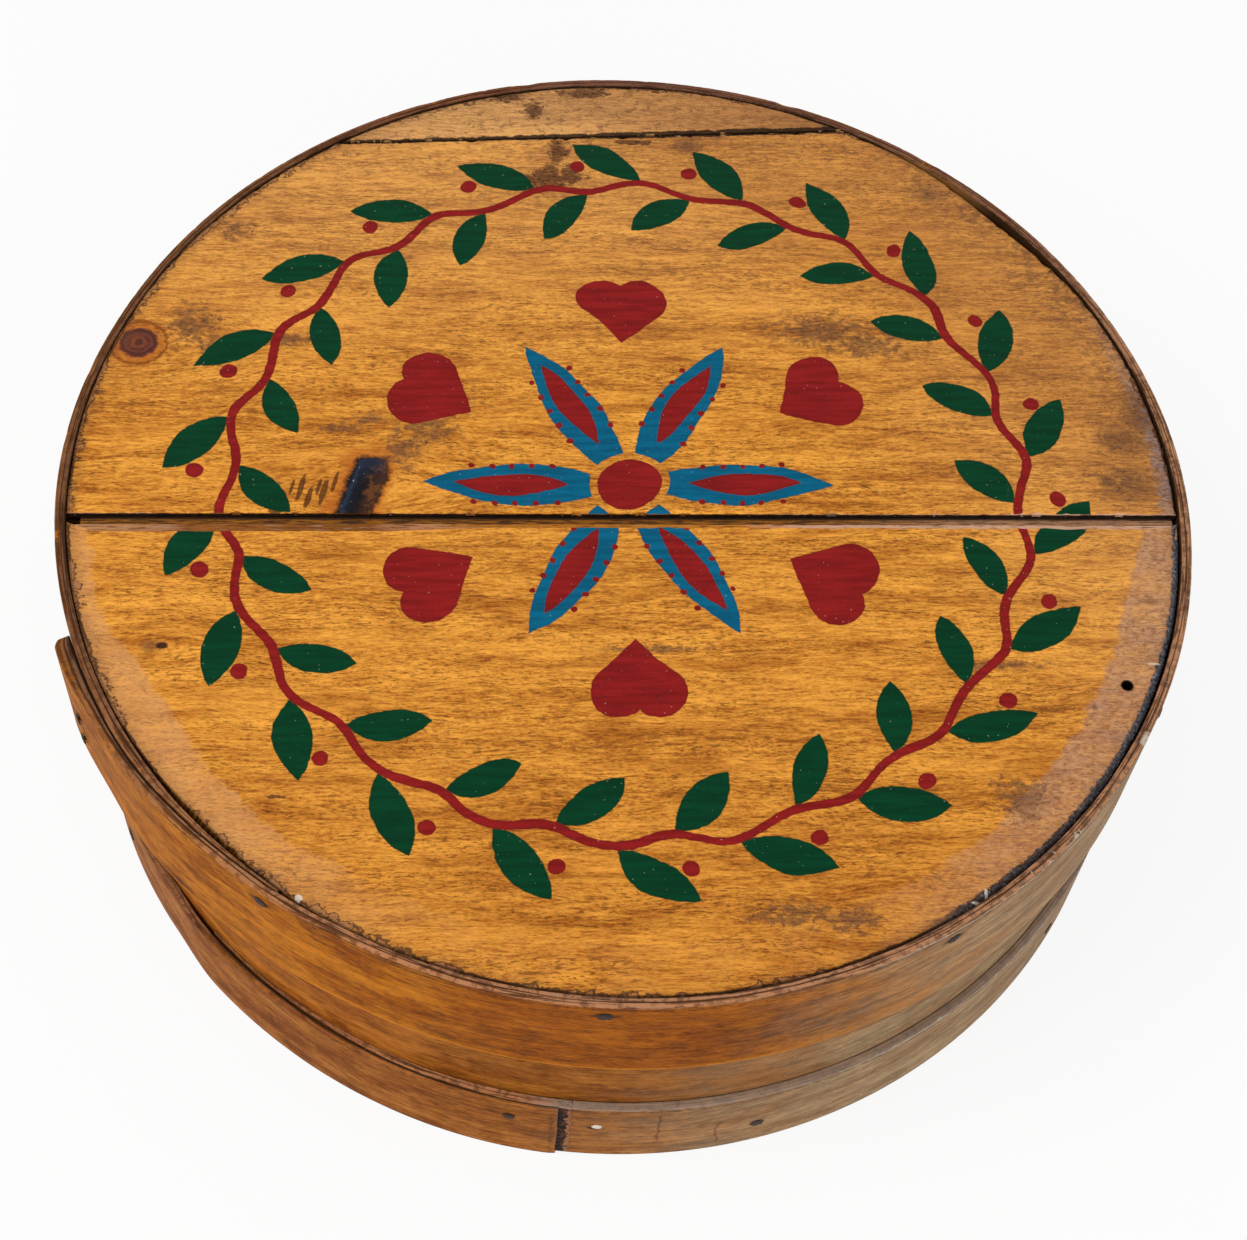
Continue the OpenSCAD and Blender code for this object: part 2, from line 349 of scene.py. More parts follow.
class Finish:
    """A material under construction, with its places in millimetres."""

    def __init__(self, name, settings, world=None):
        self.colours = settings.colours
        self.material = world or bpy.data.materials.new(name)
        self.material.use_nodes = True
        self.tree = self.material.node_tree
        self.tree.nodes.clear()

    def node(self, kind, settings=(), sockets=(), out=0):
        """Adds a node: its settings first, then the values or links of its sockets."""
        made = self.tree.nodes.new(kind)
        for key, value in dict(settings).items():
            setattr(made, key, value)
        for key, value in dict(sockets).items():
            if isinstance(value, Wire):
                self.tree.links.new(value.socket, made.inputs[key])
            else:
                made.inputs[key].default_value = value
        return None if out is None else Wire(self, made.outputs[out])

    def math(self, name, *values):
        return self.node("ShaderNodeMath", {"operation": name}, enumerate(values))

    def vector(self, name, *values, out=0):
        return self.node("ShaderNodeVectorMath", {"operation": name}, enumerate(values), out)

    def most(self, *values):
        return reduce(partial(self.math, "MAXIMUM"), values)

    def least(self, *values):
        return reduce(partial(self.math, "MINIMUM"), values)

    def seen(self):
        """1 where the camera looks straight on, in a reflection or through glass."""
        path = self.node("ShaderNodeLightPath", out="Is Camera Ray")
        return self.most(path, path.out("Is Glossy Ray"), path.out("Is Transmission Ray"))

    def colour(self, name, light=1.0):
        """A colour as the shaders read it, made lighter or darker by a factor."""
        red, green, blue = Color(getattr(self.colours, name)).from_srgb_to_scene_linear()
        return (red * light, green * light, blue * light, 1.0)

    def place(self):
        """X, Y and Z of a point of the piece."""
        spot = self.node("ShaderNodeTexCoord", out="Object")
        spot = self.node("ShaderNodeVectorMath", {"operation": "SCALE"}, {0: spot, "Scale": 1 / MM})
        x = self.node("ShaderNodeSeparateXYZ", sockets={0: spot})
        return x, x.out(1), x.out(2)

    def grain_map(self):
        """The place along and up a band, each from 0 to 1."""
        spot = self.node("ShaderNodeUVMap", {"uv_map": "Grain"})
        along = self.node("ShaderNodeSeparateXYZ", sockets={0: spot})
        return along, along.out(1)

    def spot(self, x, y, z=0.0):
        return self.node("ShaderNodeCombineXYZ", sockets={0: x, 1: y, 2: z})

    def noise(self, x, y, z=0.0, detail=2.0, roughness=0.5):
        sockets = {
            "Vector": self.spot(x, y, z),
            "Scale": 1.0,
            "Detail": detail,
            "Roughness": roughness,
        }
        return self.node("ShaderNodeTexNoise", sockets=sockets)

    def step(self, value, low, high):
        """A smooth step from 0 at low to 1 at high; low may be the larger."""
        sockets = {"Value": value, "From Min": low, "From Max": high}
        return self.node("ShaderNodeMapRange", {"interpolation_type": "SMOOTHSTEP"}, sockets)

    def length(self, x, y):
        return self.vector("LENGTH", self.spot(x, y), out="Value")

    def nearest(self, x, y, patches):
        """Distance from the nearest of some oval patches, 1 at an outline."""
        spot = self.spot(x, y)
        distances = []
        for centre_x, centre_y, half_x, half_y in patches:
            scale = (1 / half_x, 1 / half_y, 0.0)
            shift = (-centre_x / half_x, -centre_y / half_y, 0.0)
            away = self.vector("MULTIPLY_ADD", spot, scale, shift)
            distances.append(self.vector("LENGTH", away, out="Value"))
        return self.least(*distances)

    def patch(self, x, y, *oval):
        return self.nearest(x, y, [oval])

    def mix(self, first, second, factor, blend="MIX"):
        settings = {"data_type": "RGBA", "blend_type": blend}
        return self.node("ShaderNodeMix", settings, {0: factor, 6: first, 7: second}, 2)

    def between(self, colour, dark, light, factor):
        """One colour, from a darker to a lighter form of it."""
        return self.mix(self.colour(colour, dark), self.colour(colour, light), factor)

    def ramp(self, value, *stops):
        """Colours along a value; a stop is a place, a colour and perhaps its lightness."""
        made = self.node("ShaderNodeValToRGB", sockets={0: value})
        scale = made.socket.node.color_ramp
        while len(scale.elements) < len(stops):
            scale.elements.new(1.0)
        for element, (place, *colour) in zip(scale.elements, stops):
            element.position = place
            element.color = self.colour(*colour)
        return made

    def close(self, colour, roughness, height, specular, metallic=0.0, coat=0.0):
        """Joins colour, roughness and a height in millimetres into the finished material."""
        relief = {"Height": height, "Distance": MM, "Strength": 1.0}
        normal = self.node("ShaderNodeBump", sockets=relief)
        sockets = {
            "Base Color": colour,
            "Roughness": roughness,
            "Metallic": metallic,
            "Specular IOR Level": specular,
            "Coat Weight": coat,
            "Coat Roughness": 0.12,
            "Normal": normal,
        }
        surface = self.node("ShaderNodeBsdfPrincipled", sockets=sockets)
        self.node("ShaderNodeOutputMaterial", sockets={"Surface": surface}, out=None)
        return self.material


def lens(f, along, across, half_length, half_width):
    """Distance outside a pointed leaf that lies along its own axis."""
    bow = (half_length**2 + half_width**2) / (2 * half_width)
    return f.length(along, abs(across) + (bow - half_width)) - bow


def turned(along, across, centre_along, centre_across, degrees):
    """A place measured from a centre, along and across an axis turned by some degrees."""
    c, s = cos(radians(degrees)), sin(radians(degrees))
    u = along - centre_along
    v = across - centre_across
    return u * c + v * s, v * c - u * s


# The lid's painted ornament: sizes in millimetres from the centre of the lid
SWAY = 7.0
PETAL = 80.0
ROSE_EYE = 12.0
HEART = 15.0
HEART_PLACE = 84.0
WREATH = 152.0
WREATH_LEAVES = 22
LEAF = (16.0, 6.6)
LEAF_PLACE = (3.0, 14.0)
LEAF_TURN = 40
BERRY_PLACE = (7.0, 12.0)


def ornament(f, x, y, wood):
    """A six-petal compass rose with hearts, inside a running wreath of leaves."""
    wobble = f.noise(x * 0.028, y * 0.028, detail=1.0).out("Color")
    spot = f.vector("MULTIPLY_ADD", wobble, (SWAY, SWAY, 0.0), f.spot(x - SWAY / 2, y - SWAY / 2))
    px = f.node("ShaderNodeSeparateXYZ", sockets={0: spot})
    py = px.out(1)
    edge = (f.noise(x * 0.33, y * 0.33, 4.0, 2.0) - 0.5) * 1.1
    radius = f.length(px, py)
    angle = f.math("ARCTAN2", py, px)
    brush = f.noise(x * 0.05, y * 0.4, 9.0, 3.0)
    specks = f.step(f.noise(x * 0.8, y * 0.8, 2.0, 1.0), 0.735, 0.78)

    def lay(below, paint, distance):
        """One coat of paint inside an outline, darker along its edge."""
        distance = distance + edge
        inside = f.step(distance, 0.25, -0.25)
        coat = f.between(paint, 0.8, 1.2, f.step(brush, 0.3, 0.7))
        coat = coat.stain(paint, f.step(distance, -0.9, -0.1) * 0.5, 0.6)
        coat = coat.stain("chalk", specks * 0.3)
        return f.mix(below, coat, inside), inside

    # Wreath: pairs of leaves along a wavy vine
    turns = angle * (WREATH_LEAVES / tau)
    cell = tau * WREATH / WREATH_LEAVES
    beyond = radius - WREATH
    here = (f.math("FRACT", turns) - 0.5) * cell
    there = (f.math("FRACT", turns + 0.5) - 0.5) * cell
    outer = lens(f, *turned(here, beyond, LEAF_PLACE[0], LEAF_PLACE[1], LEAF_TURN), *LEAF)
    inner = lens(f, *turned(there, beyond, LEAF_PLACE[0], -LEAF_PLACE[1], -LEAF_TURN), *LEAF)
    wood, leaves = lay(wood, "green", f.least(outer, inner))
    vine = abs(beyond - f.math("SINE", turns * tau) * 2.4) - 1.8
    berry = f.length(there + BERRY_PLACE[0], beyond - BERRY_PLACE[1]) - 3.1
    wood, stems = lay(wood, "red", f.least(vine, berry))

    # Compass rose: six petals folded onto one half of one petal
    fold = f.math("PINGPONG", angle, radians(30))
    u = radius * f.math("COSINE", fold)
    v = radius * f.math("SINE", fold)
    petal = f.length(u - PETAL / 2, v + 0.866 * PETAL) - (PETAL - 1.0)
    petal = f.most(petal, 15.0 - radius)
    wood, petals = lay(wood, "blue", petal)
    heart_fold = radians(30) - fold
    p = radius * f.math("COSINE", heart_fold) - HEART_PLACE
    q = radius * f.math("SINE", heart_fold)
    point = (abs(p) + q - HEART) * 0.7071
    lobe = f.length(p - HEART / 2, q - HEART / 2) - HEART * 0.7071
    dots = (f.math("FRACT", u * 0.125) - 0.5) * 8.0
    dots = f.length(dots, v - 8.6) - 1.2
    dots = f.most(dots, abs(u - 44.0) - 20.0)
    red = f.least(point, lobe, lens(f, u - 0.56 * PETAL, v, 22.0, 5.0), radius - ROSE_EYE, dots)
    wood, reds = lay(wood, "red", red)
    return wood, f.most(leaves, stems, petals, reds)


# Marks on the lid: centre x, y and half sizes in millimetres
SMUDGES = (
    (80, 76, 20, 9),
    (97, 69, 18, 7),
    (-86, 16, 8, 9),
    (-77, 27, 11, 9),
    (-72, 38, 11, 8),
    (-99, 31, 7, 3),
    (-109, 26, 9, 3),
    (-170, 77, 10, 10),
    (-160, 68, 10, 4),
    (-131, 70, 8, 4),
    (-156, 127, 8, 5),
    (193, 22, 12, 8),
    (192, 1, 12, 9),
    (202, 34, 7, 12),
    (52, -180, 16, 5),
    (70, -183, 12, 5),
    (134, -136, 10, 9),
    (133, -81, 18, 2.4),
    (5, -74, 20, 1.8),
    (31, 176, 7, 5),
    (131, 150, 8, 5),
    (-140, -165, 16, 4),
)
STAINS = (
    (-24, 172, 4, 8),
    (-28, 157, 9, 7),
    (-19, 159, 6, 6),
    (-34, 196, 3.6, 5),
    (-46, 205, 9, 4),
    (-12, 206, 10, 3),
    (8, 178, 8, 1.6),
    (-127, -134, 2.8, 1),
)
# Drips of pitch to the left of its knot, on a lean
DRIPS = (
    (-124.3, -2, 1.2, 6),
    (-120.3, -6.5, 1.2, 5.5),
    (-117.7, -1.5, 0.8, 4),
    (-115.3, -3.6, 1.3, 6.5),
    (-127.7, -1.7, 0.7, 3.5),
    (-112.2, 1, 0.9, 5),
    (-131, -12.4, 3, 1.4),
)
# White chips at the edge
CHIPS = (
    (-118, -172.8, 1.3, 1.4),
    (117.5, -173.5, 0.6, 2.6),
    (114, -176.5, 2.4, 0.5),
    (190.5, -80.5, 2.4, 0.35),
)
LID_SPAN = 420
EDGE_RADIUS = 210.4
FRONT_SHIFT = 277.0
BACK_SHIFT = 611.0
RING_KNOT = (-190, 68)
SMALL_KNOT = (-171, -72)
PITCH_KNOT = (-101, -1)
OLD_HOLE = (179.3, -89.8)


def around_knot(f, x, y, across, knot, half_x, half_y, strength):
    """Bends the grain round a knot."""
    pull = f.step(f.patch(x, y, *knot, half_x, half_y), 1.0, 0.0)
    return across - (y - knot[1]) * (pull * strength)


def pine(f, along, across, depth):
    """Varnished pine: colour, and the noises of its grain for the rest of a finish."""
    across = across + (f.noise(along * 0.021, across * 0.05, 2.0, 2.0) - 0.5) * 7.0
    band = f.noise(along * 0.011, across * 0.1, depth * 0.01, 4.0, 0.6)
    streak = f.noise(along * 0.06, across * 0.55, depth * 0.05, 3.0, 0.62)
    line = f.noise(along * 0.17, across * 1.2, depth * 0.1, 2.0, 0.6)
    fibre = f.noise(along * 0.5, across * 1.9, depth * 0.3, 3.0, 0.68)
    tone = band * 0.22 + streak * 0.22 + line * 0.26 + fibre * 0.3
    wood = f.ramp(
        tone,
        (0.405, "umber"),
        (0.465, "amber"),
        (0.525, "honey"),
        (0.6, "honey", 1.28),
    )
    cluster = f.step(f.noise(along * 0.014, across * 0.085, 5.0, 2.0), 0.38, 0.6)
    dash = f.step(f.noise(along * 0.26, across * 1.3, 7.0, 1.0), 0.58, 0.67)
    dash = dash * (cluster * 0.75 + 0.25)
    slanted = along + across * 0.9
    pore = f.step(f.noise(slanted * 0.62, across * 1.2, 17.0, 1.0), 0.64, 0.72)
    pore = pore * (cluster * 0.6 + 0.4)
    fleck = f.most(dash, pore)
    wood = wood.stain("fleck", fleck * 0.62)
    shadow = f.step(f.noise(along * 0.02, across * 0.1, 11.0, 4.0, 0.65), 0.46, 0.66)
    wood = wood.tint("wash", shadow * 0.8)
    return wood, tone, line, fibre, fleck


def pitch_knot(f, x, y, wood, mottle, rough):
    """The broken knot of black pitch at the seam, its stained halo and its drips."""
    ragged = (mottle - 0.5) * 3.4 + (rough - 0.5) * 5.0
    left_edge = y * 0.3 - 106.6
    low_right = f.most(3.0 - y, 0.0) * 0.33
    right_edge = -91.8 - low_right
    outside = f.most(left_edge - x, x - right_edge, abs(y + 2.0) - 13.6) + ragged
    halo = f.step(outside, 9.0, 0.5) * f.step(x - y * 0.3, -86, -94)
    wood = wood.stain("halo", halo * 0.75)
    wood = wood.stain("worn_dark", f.step(outside, 1.9, 0.6) * 0.7, 0.7)
    lean = x - (y + 3.0) * 0.22
    drip = f.nearest(lean, y, DRIPS) + (mottle - 0.5) * 0.6 + (rough - 0.5) * 0.5
    wood = wood.stain("fleck", f.step(drip, 1.1, 0.8) * 0.85, 0.75)
    across = (x - left_edge) * (1 / 14) + (mottle - 0.5) * 0.35
    # Colours across the pitch, with a painted blue sheen near its left edge
    black = f.ramp(
        across,
        (0.02, "resin"),
        (0.14, "sheen"),
        (0.24, "resin", 2.2),
        (0.46, "resin", 0.8),
        (0.62, "worn_dark", 0.25),
        (0.95, "worn_dark", 0.55),
    )
    # More painted blue sheen on the upper part, and painted white glints
    upper = f.step(y + (rough - 0.5) * 18.0, 2, 9) * f.step(across, 0.1, 0.3)
    black = black.stain("sheen", upper * 0.4, 1.3)
    tawny = f.step(rough, 0.5, 0.58) * f.step(across, 0.35, 0.6)
    black = black.stain("umber", tawny * 0.7, 0.5)
    glint = f.step(f.noise(lean * 0.6, y * 0.35, 25.0, 1.0), 0.68, 0.74) * f.step(across, 0.5, 0.35)
    black = black.stain("chalk", glint * 0.75, 0.7)
    pitch = f.step(outside, 0.4, -0.4)
    return f.mix(wood, black, pitch), pitch


def lid_finish(settings):
    """Varnished old pine with its knots, stains, bleached edge and painted ornament."""
    lid = settings.lid
    f = Finish("lid_boards_varnished", settings)
    x, y, z = f.place()
    c, s = cos(lid.back_turn), sin(lid.back_turn)
    past_back = y * c - x * s - lid.back / MM
    back = f.step(past_back, -0.1, 0.1)
    front = f.step(y, lid.front / MM + 0.1, lid.front / MM - 0.1)
    own = back * BACK_SHIFT + front * FRONT_SHIFT
    across = around_knot(f, x, y, y, RING_KNOT, 60, 30, 0.75)
    across = around_knot(f, x, y, across, SMALL_KNOT, 26, 12, 0.6)
    across = around_knot(f, x, y, across, PITCH_KNOT, 46, 30, 0.6) + own
    wood, tone, line, fibre, fleck = pine(f, x + own * 1.7, across, z)
    blotch = f.noise(x * 0.07, y * 0.07, 1.0, 4.0, 0.6)
    mottle = f.noise(x * 0.33, y * 0.5, 3.0, 3.0, 0.6)
    rough = f.noise(x * 0.16, y * 0.18, 8.0, 4.0, 0.7)
    feather = f.noise(x * 0.24 + rough * 2.0, y * 0.3 + blotch * 3.0, 14.0, 4.0, 0.72)
    wood = wood.tint("wash", f.step(y, -60, -200) * 0.35)
    dry = f.between("dry", 0.78, 1.18, f.step(tone, 0.43, 0.57))
    far = f.most(f.step(y, 20, 180) * 0.34, f.step(x + y * 0.5, 70, 230) * 0.34)
    wood = f.mix(wood, dry, f.most(back * 0.7, far))
    wood = wood.tint("wash", f.step(x + y, 150, 215) * 0.45)
    wood = wood.tint("wash", back * f.step(x, -20, 90) * 0.5)

    # The varnish is rubbed off along the left and right edges, and in patches at the front
    radius = f.length(x, y)
    angle = f.math("ARCTAN2", y, x)
    left_start = f.step(angle, -2.1, -2.3) * 2.5 + f.step(angle, -2.62, -2.9) * 8.0
    start = f.step(angle, -0.24, -0.1) * 5.5 + left_start
    border = radius - start + (blotch - 0.5) * 9.0 + (mottle - 0.5) * 4.0
    bare = f.step(border, 190.6, 193.0) * front
    bare = bare * (f.step(abs(x), 60, 150) * 0.75 + f.step(blotch, 0.4, 0.6) * 0.25)
    rubbed = f.ramp(
        x * (1 / LID_SPAN) + 0.5,
        (0.18, "pale_left"),
        (0.42, "pale_front"),
        (0.6, "pale_front"),
        (0.84, "pale_right"),
    )
    pale = f.mix(wood, rubbed, 0.66)
    pale = pale.stain("smoke", f.step(fibre, 0.46, 0.34) * 0.4)
    pale = pale.stain("smoke", f.step(feather, 0.5, 0.64) * f.step(x, -140, 140) * 0.5)
    pale = pale.tint("wash", f.step(mottle, 0.44, 0.6) * f.step(x, 0, 150) * 0.55)
    wood = f.mix(wood, pale, bare)

    # Grey dirt in the grain of the upper right, and a grey bloom along its edge
    right = f.step(angle, -0.09, -0.04)
    zone = f.step(radius + (blotch - 0.5) * 60.0, 182, 208) * right * f.step(angle, 1.05, 0.8)
    wood = wood.stain("smoke", zone * f.step(feather, 0.45, 0.6) * 0.7)
    bloom = f.step(radius + (mottle - 0.5) * 10.0, 202.5, 207.0) * right * f.step(angle, 0.5, 0.1)
    bloom_colour = f.mix(f.colour("smoke", 1.2), f.colour("slate", 3.0), f.step(fibre, 0.4, 0.56))
    wood = f.mix(wood, bloom_colour, bloom * (mottle * 0.5 + 0.3))
    sooty = f.step(feather, 0.53, 0.63) * f.step(y + radius * 0.4 + (blotch - 0.5) * 60.0, 205, 262)
    wood = wood.stain("smoke", sooty * 0.6)

    # Knots
    ring = f.patch(x, y, *RING_KNOT, 7.6, 7.2) + (mottle - 0.5) * 0.5
    wood = wood.coats(
        ("halo", f.step(ring, 1.75, 1.2) * 0.6),
        ("halo", f.step(abs(ring - 1.45), 0.14, 0.03) * 0.7, 0.4),
        ("knot", f.step(ring, 1.08, 0.94) * 0.95, 1.35),
    )
    rings = f.step(f.math("SINE", ring * 17.0), -0.2, 0.7)
    wood = wood.stain("knot", f.step(ring, 1.02, 0.9) * rings * 0.7, 0.7)
    heart = f.step(abs(ring - 0.4), 0.2, 0.05) * f.step(mottle, 0.42, 0.58)
    wood = wood.stain("halo", heart * 0.3)
    small = f.patch(x, y, *SMALL_KNOT, 2.4, 1.5)
    wood = wood.stain("smoke", f.step(f.patch(x, y, -174.5, -72, 5, 2.5), 1.2, 0.5) * 0.5)
    wood = wood.stain("soot", f.step(small, 1.1, 0.7) * 0.9)
    wood, pitch = pitch_knot(f, x, y, wood, mottle, rough)

    # Smudges and stains
    soft = f.nearest(x, y, SMUDGES) + (feather - 0.5) * 5.0
    wet = f.step(soft, 1.25, 0.2) * (1.0 - pitch)
    spotted = f.noise(x * 0.45, y * 0.8, 61.0, 3.0, 0.65)
    wood = wood.stain("smoke", wet * (f.step(fibre, 0.4, 0.56) * 0.38 + 0.48))
    wood = wood.stain("smoke", wet * f.step(spotted, 0.52, 0.62) * 0.62, 0.5)
    deep = f.nearest(x, y, STAINS) + (feather - 0.5) * 3.6
    dark = f.step(deep, 1.2, 0.7)
    wood = wood.stain("worn_dark", dark * (f.step(fibre, 0.36, 0.52) * 0.3 + 0.58))
    wood = wood.stain("worn_dark", dark * f.step(spotted, 0.5, 0.6) * 0.7, 0.45)

    wood, cover = ornament(f, x, y, wood)

    # A darker haze and splinters along the edge beside the rim; the splinters follow the grain,
    # with painted shade along their outlines
    edge = EDGE_RADIUS - radius
    tear = f.noise(x * 0.24, y * 0.32, 31.0, 3.0, 0.62)
    left = f.step(angle, -1.8, -2.3) + f.step(angle, 1.5, 2.2)
    haze = f.step(edge + (feather - 0.5) * 9.0, 6.5, 0.5) * (left * 0.2 + 0.14)
    wood = wood.stain("smoke", haze, 0.8)
    torn = f.step(f.noise(angle * 8.0, radius * 0.02, 33.0, 2.0), 0.42, 0.56)
    splinter = (tear - 0.38) * (left * 4.0 + 10.0) * (torn * 0.8 + 0.2) - edge
    # Pale splinters with painted shade along their dark outlines, then a near-black line at the
    # very edge
    wood = wood.coats(
        ("worn", f.step(splinter, -0.2, 0.5) * 0.6, 0.7),
        ("worn_dark", f.step(abs(splinter), 0.75, 0.25) * 0.8, 0.6),
        ("soot", f.step(edge, 1.1, 0.4) * (0.7 - left * 0.4)),
    )

    # Old filler at the right, greyer towards the seam
    grit = f.noise(x * 0.9, y * 0.9, z, 3.0, 0.65)
    filled = f.step(angle, -1.13, -1.02) * f.step(angle, -0.06, -0.1)
    filler = f.step(edge + (mottle - 0.5) * 2.6 + (tear - 0.5) * 3.0, 2.7, 2.1) * filled
    filler_colour = f.between("slate", 0.4, 1.6, f.step(grit, 0.4, 0.6))
    filler_colour = filler_colour.stain("dirt", f.step(angle, -0.4, -0.9) * 0.6, 0.6)
    filler_colour = filler_colour.stain("chalk", f.step(grit, 0.64, 0.7) * 0.6, 0.7)
    wood = f.mix(wood, filler_colour, filler * 0.94)
    chips = f.nearest(x, y, CHIPS) + (grit - 0.5) * 1.6
    wood = wood.stain("chalk", f.step(chips, 1.1, 0.8) * 0.75)

    # The front seam: a worn strip on the front board, then the dirty channel, with a painted shadow
    # under the middle board's edge
    sunk = lid.high / MM - z
    by_seam = f.step(y, -25.0, -24.5) * f.step(y, -12.0, -12.5)
    strip = f.step(sunk, 0.32, 0.55) * by_seam
    grain = f.noise(x * 0.1, y * 1.2, 41.0, 4.0, 0.65)
    strip_wood = f.ramp(
        x * (1 / LID_SPAN) + 0.5 + (blotch - 0.5) * 0.05,
        (0.0, "pale_left", 0.8),
        (0.075, "worn", 0.85),
        (0.12, "umber", 0.9),
        (0.26, "umber", 0.8),
        (0.31, "worn"),
        (0.36, "amber", 0.75),
        (0.6, "amber", 0.95),
        (0.66, "pale_right", 1.25),
    )
    strip_wood = strip_wood.stain("worn_dark", f.step(grain, 0.48, 0.38) * 0.75, 0.8)
    strip_wood = strip_wood.stain("chalk", f.step(grain, 0.56, 0.66) * 0.4, 0.55)
    wood = f.mix(wood, strip_wood, strip)
    slot = f.step(y, -17.9, -17.5) * f.step(y, -13.0, -13.2) * f.step(sunk, 0.5, 0.9)
    channel = f.most(f.step(sunk, 1.9, 2.4), slot)
    channel_wood = f.mix(f.colour("dirt", 1.3), f.colour("amber", 0.6), f.step(grain, 0.42, 0.6))
    channel_wood = f.mix(channel_wood, strip_wood, f.step(x, 60, 150) * 0.35)
    # Painted shadow under the middle board's edge, along the top of the channel
    shaded = f.step(y + (grain - 0.5) * 2.4, -15.2, -14.2) * by_seam
    channel_wood = channel_wood.stain("soot", shaded * 0.95)
    wood = f.mix(wood, channel_wood, channel)

    # The old hole, and dirt and flakes in the back seam
    hole = f.patch(x, y, *OLD_HOLE, 2.0, 2.0)
    wood = wood.stain("soot", f.step(hole, 1.4, 1.0), 0.4)
    seam = abs(past_back) - 0.6 - f.step(x, -80, 40) * 0.7
    wood = wood.stain("soot", f.step(seam + (rough - 0.5) * 3.0, 0.8, 0.3) * 0.92)
    flake = f.step(f.noise(x * 0.16, y * 0.5, 52.0, 2.0), 0.6, 0.64)
    flake = flake * f.step(abs(past_back + 0.6), 1.5, 1.0)
    wood = wood.stain("dry", flake * 0.8, 0.95)

    # Bare wood underneath
    under = f.step(sunk, 9.0, 11.0)
    bare_wood = f.mix(f.colour("raw"), f.colour("raw_dark"), f.step(tone, 0.56, 0.42))
    wood = f.mix(wood, bare_wood, under)

    roughness = 0.5 + (blotch - 0.5) * 0.2 + bare * 0.1 - cover * 0.04 - pitch * 0.15
    height = fibre * 0.08 + line * 0.1 - fleck * 0.14 + cover * 0.05 + blotch * 0.06
    height = height + pitch * (rough * 1.6)
    return f.close(wood, roughness, height, 0.05, coat=pitch * 0.12)


# The greatest share of grey on a band: weathering, partly a painted reflection
GREYEST = 0.85


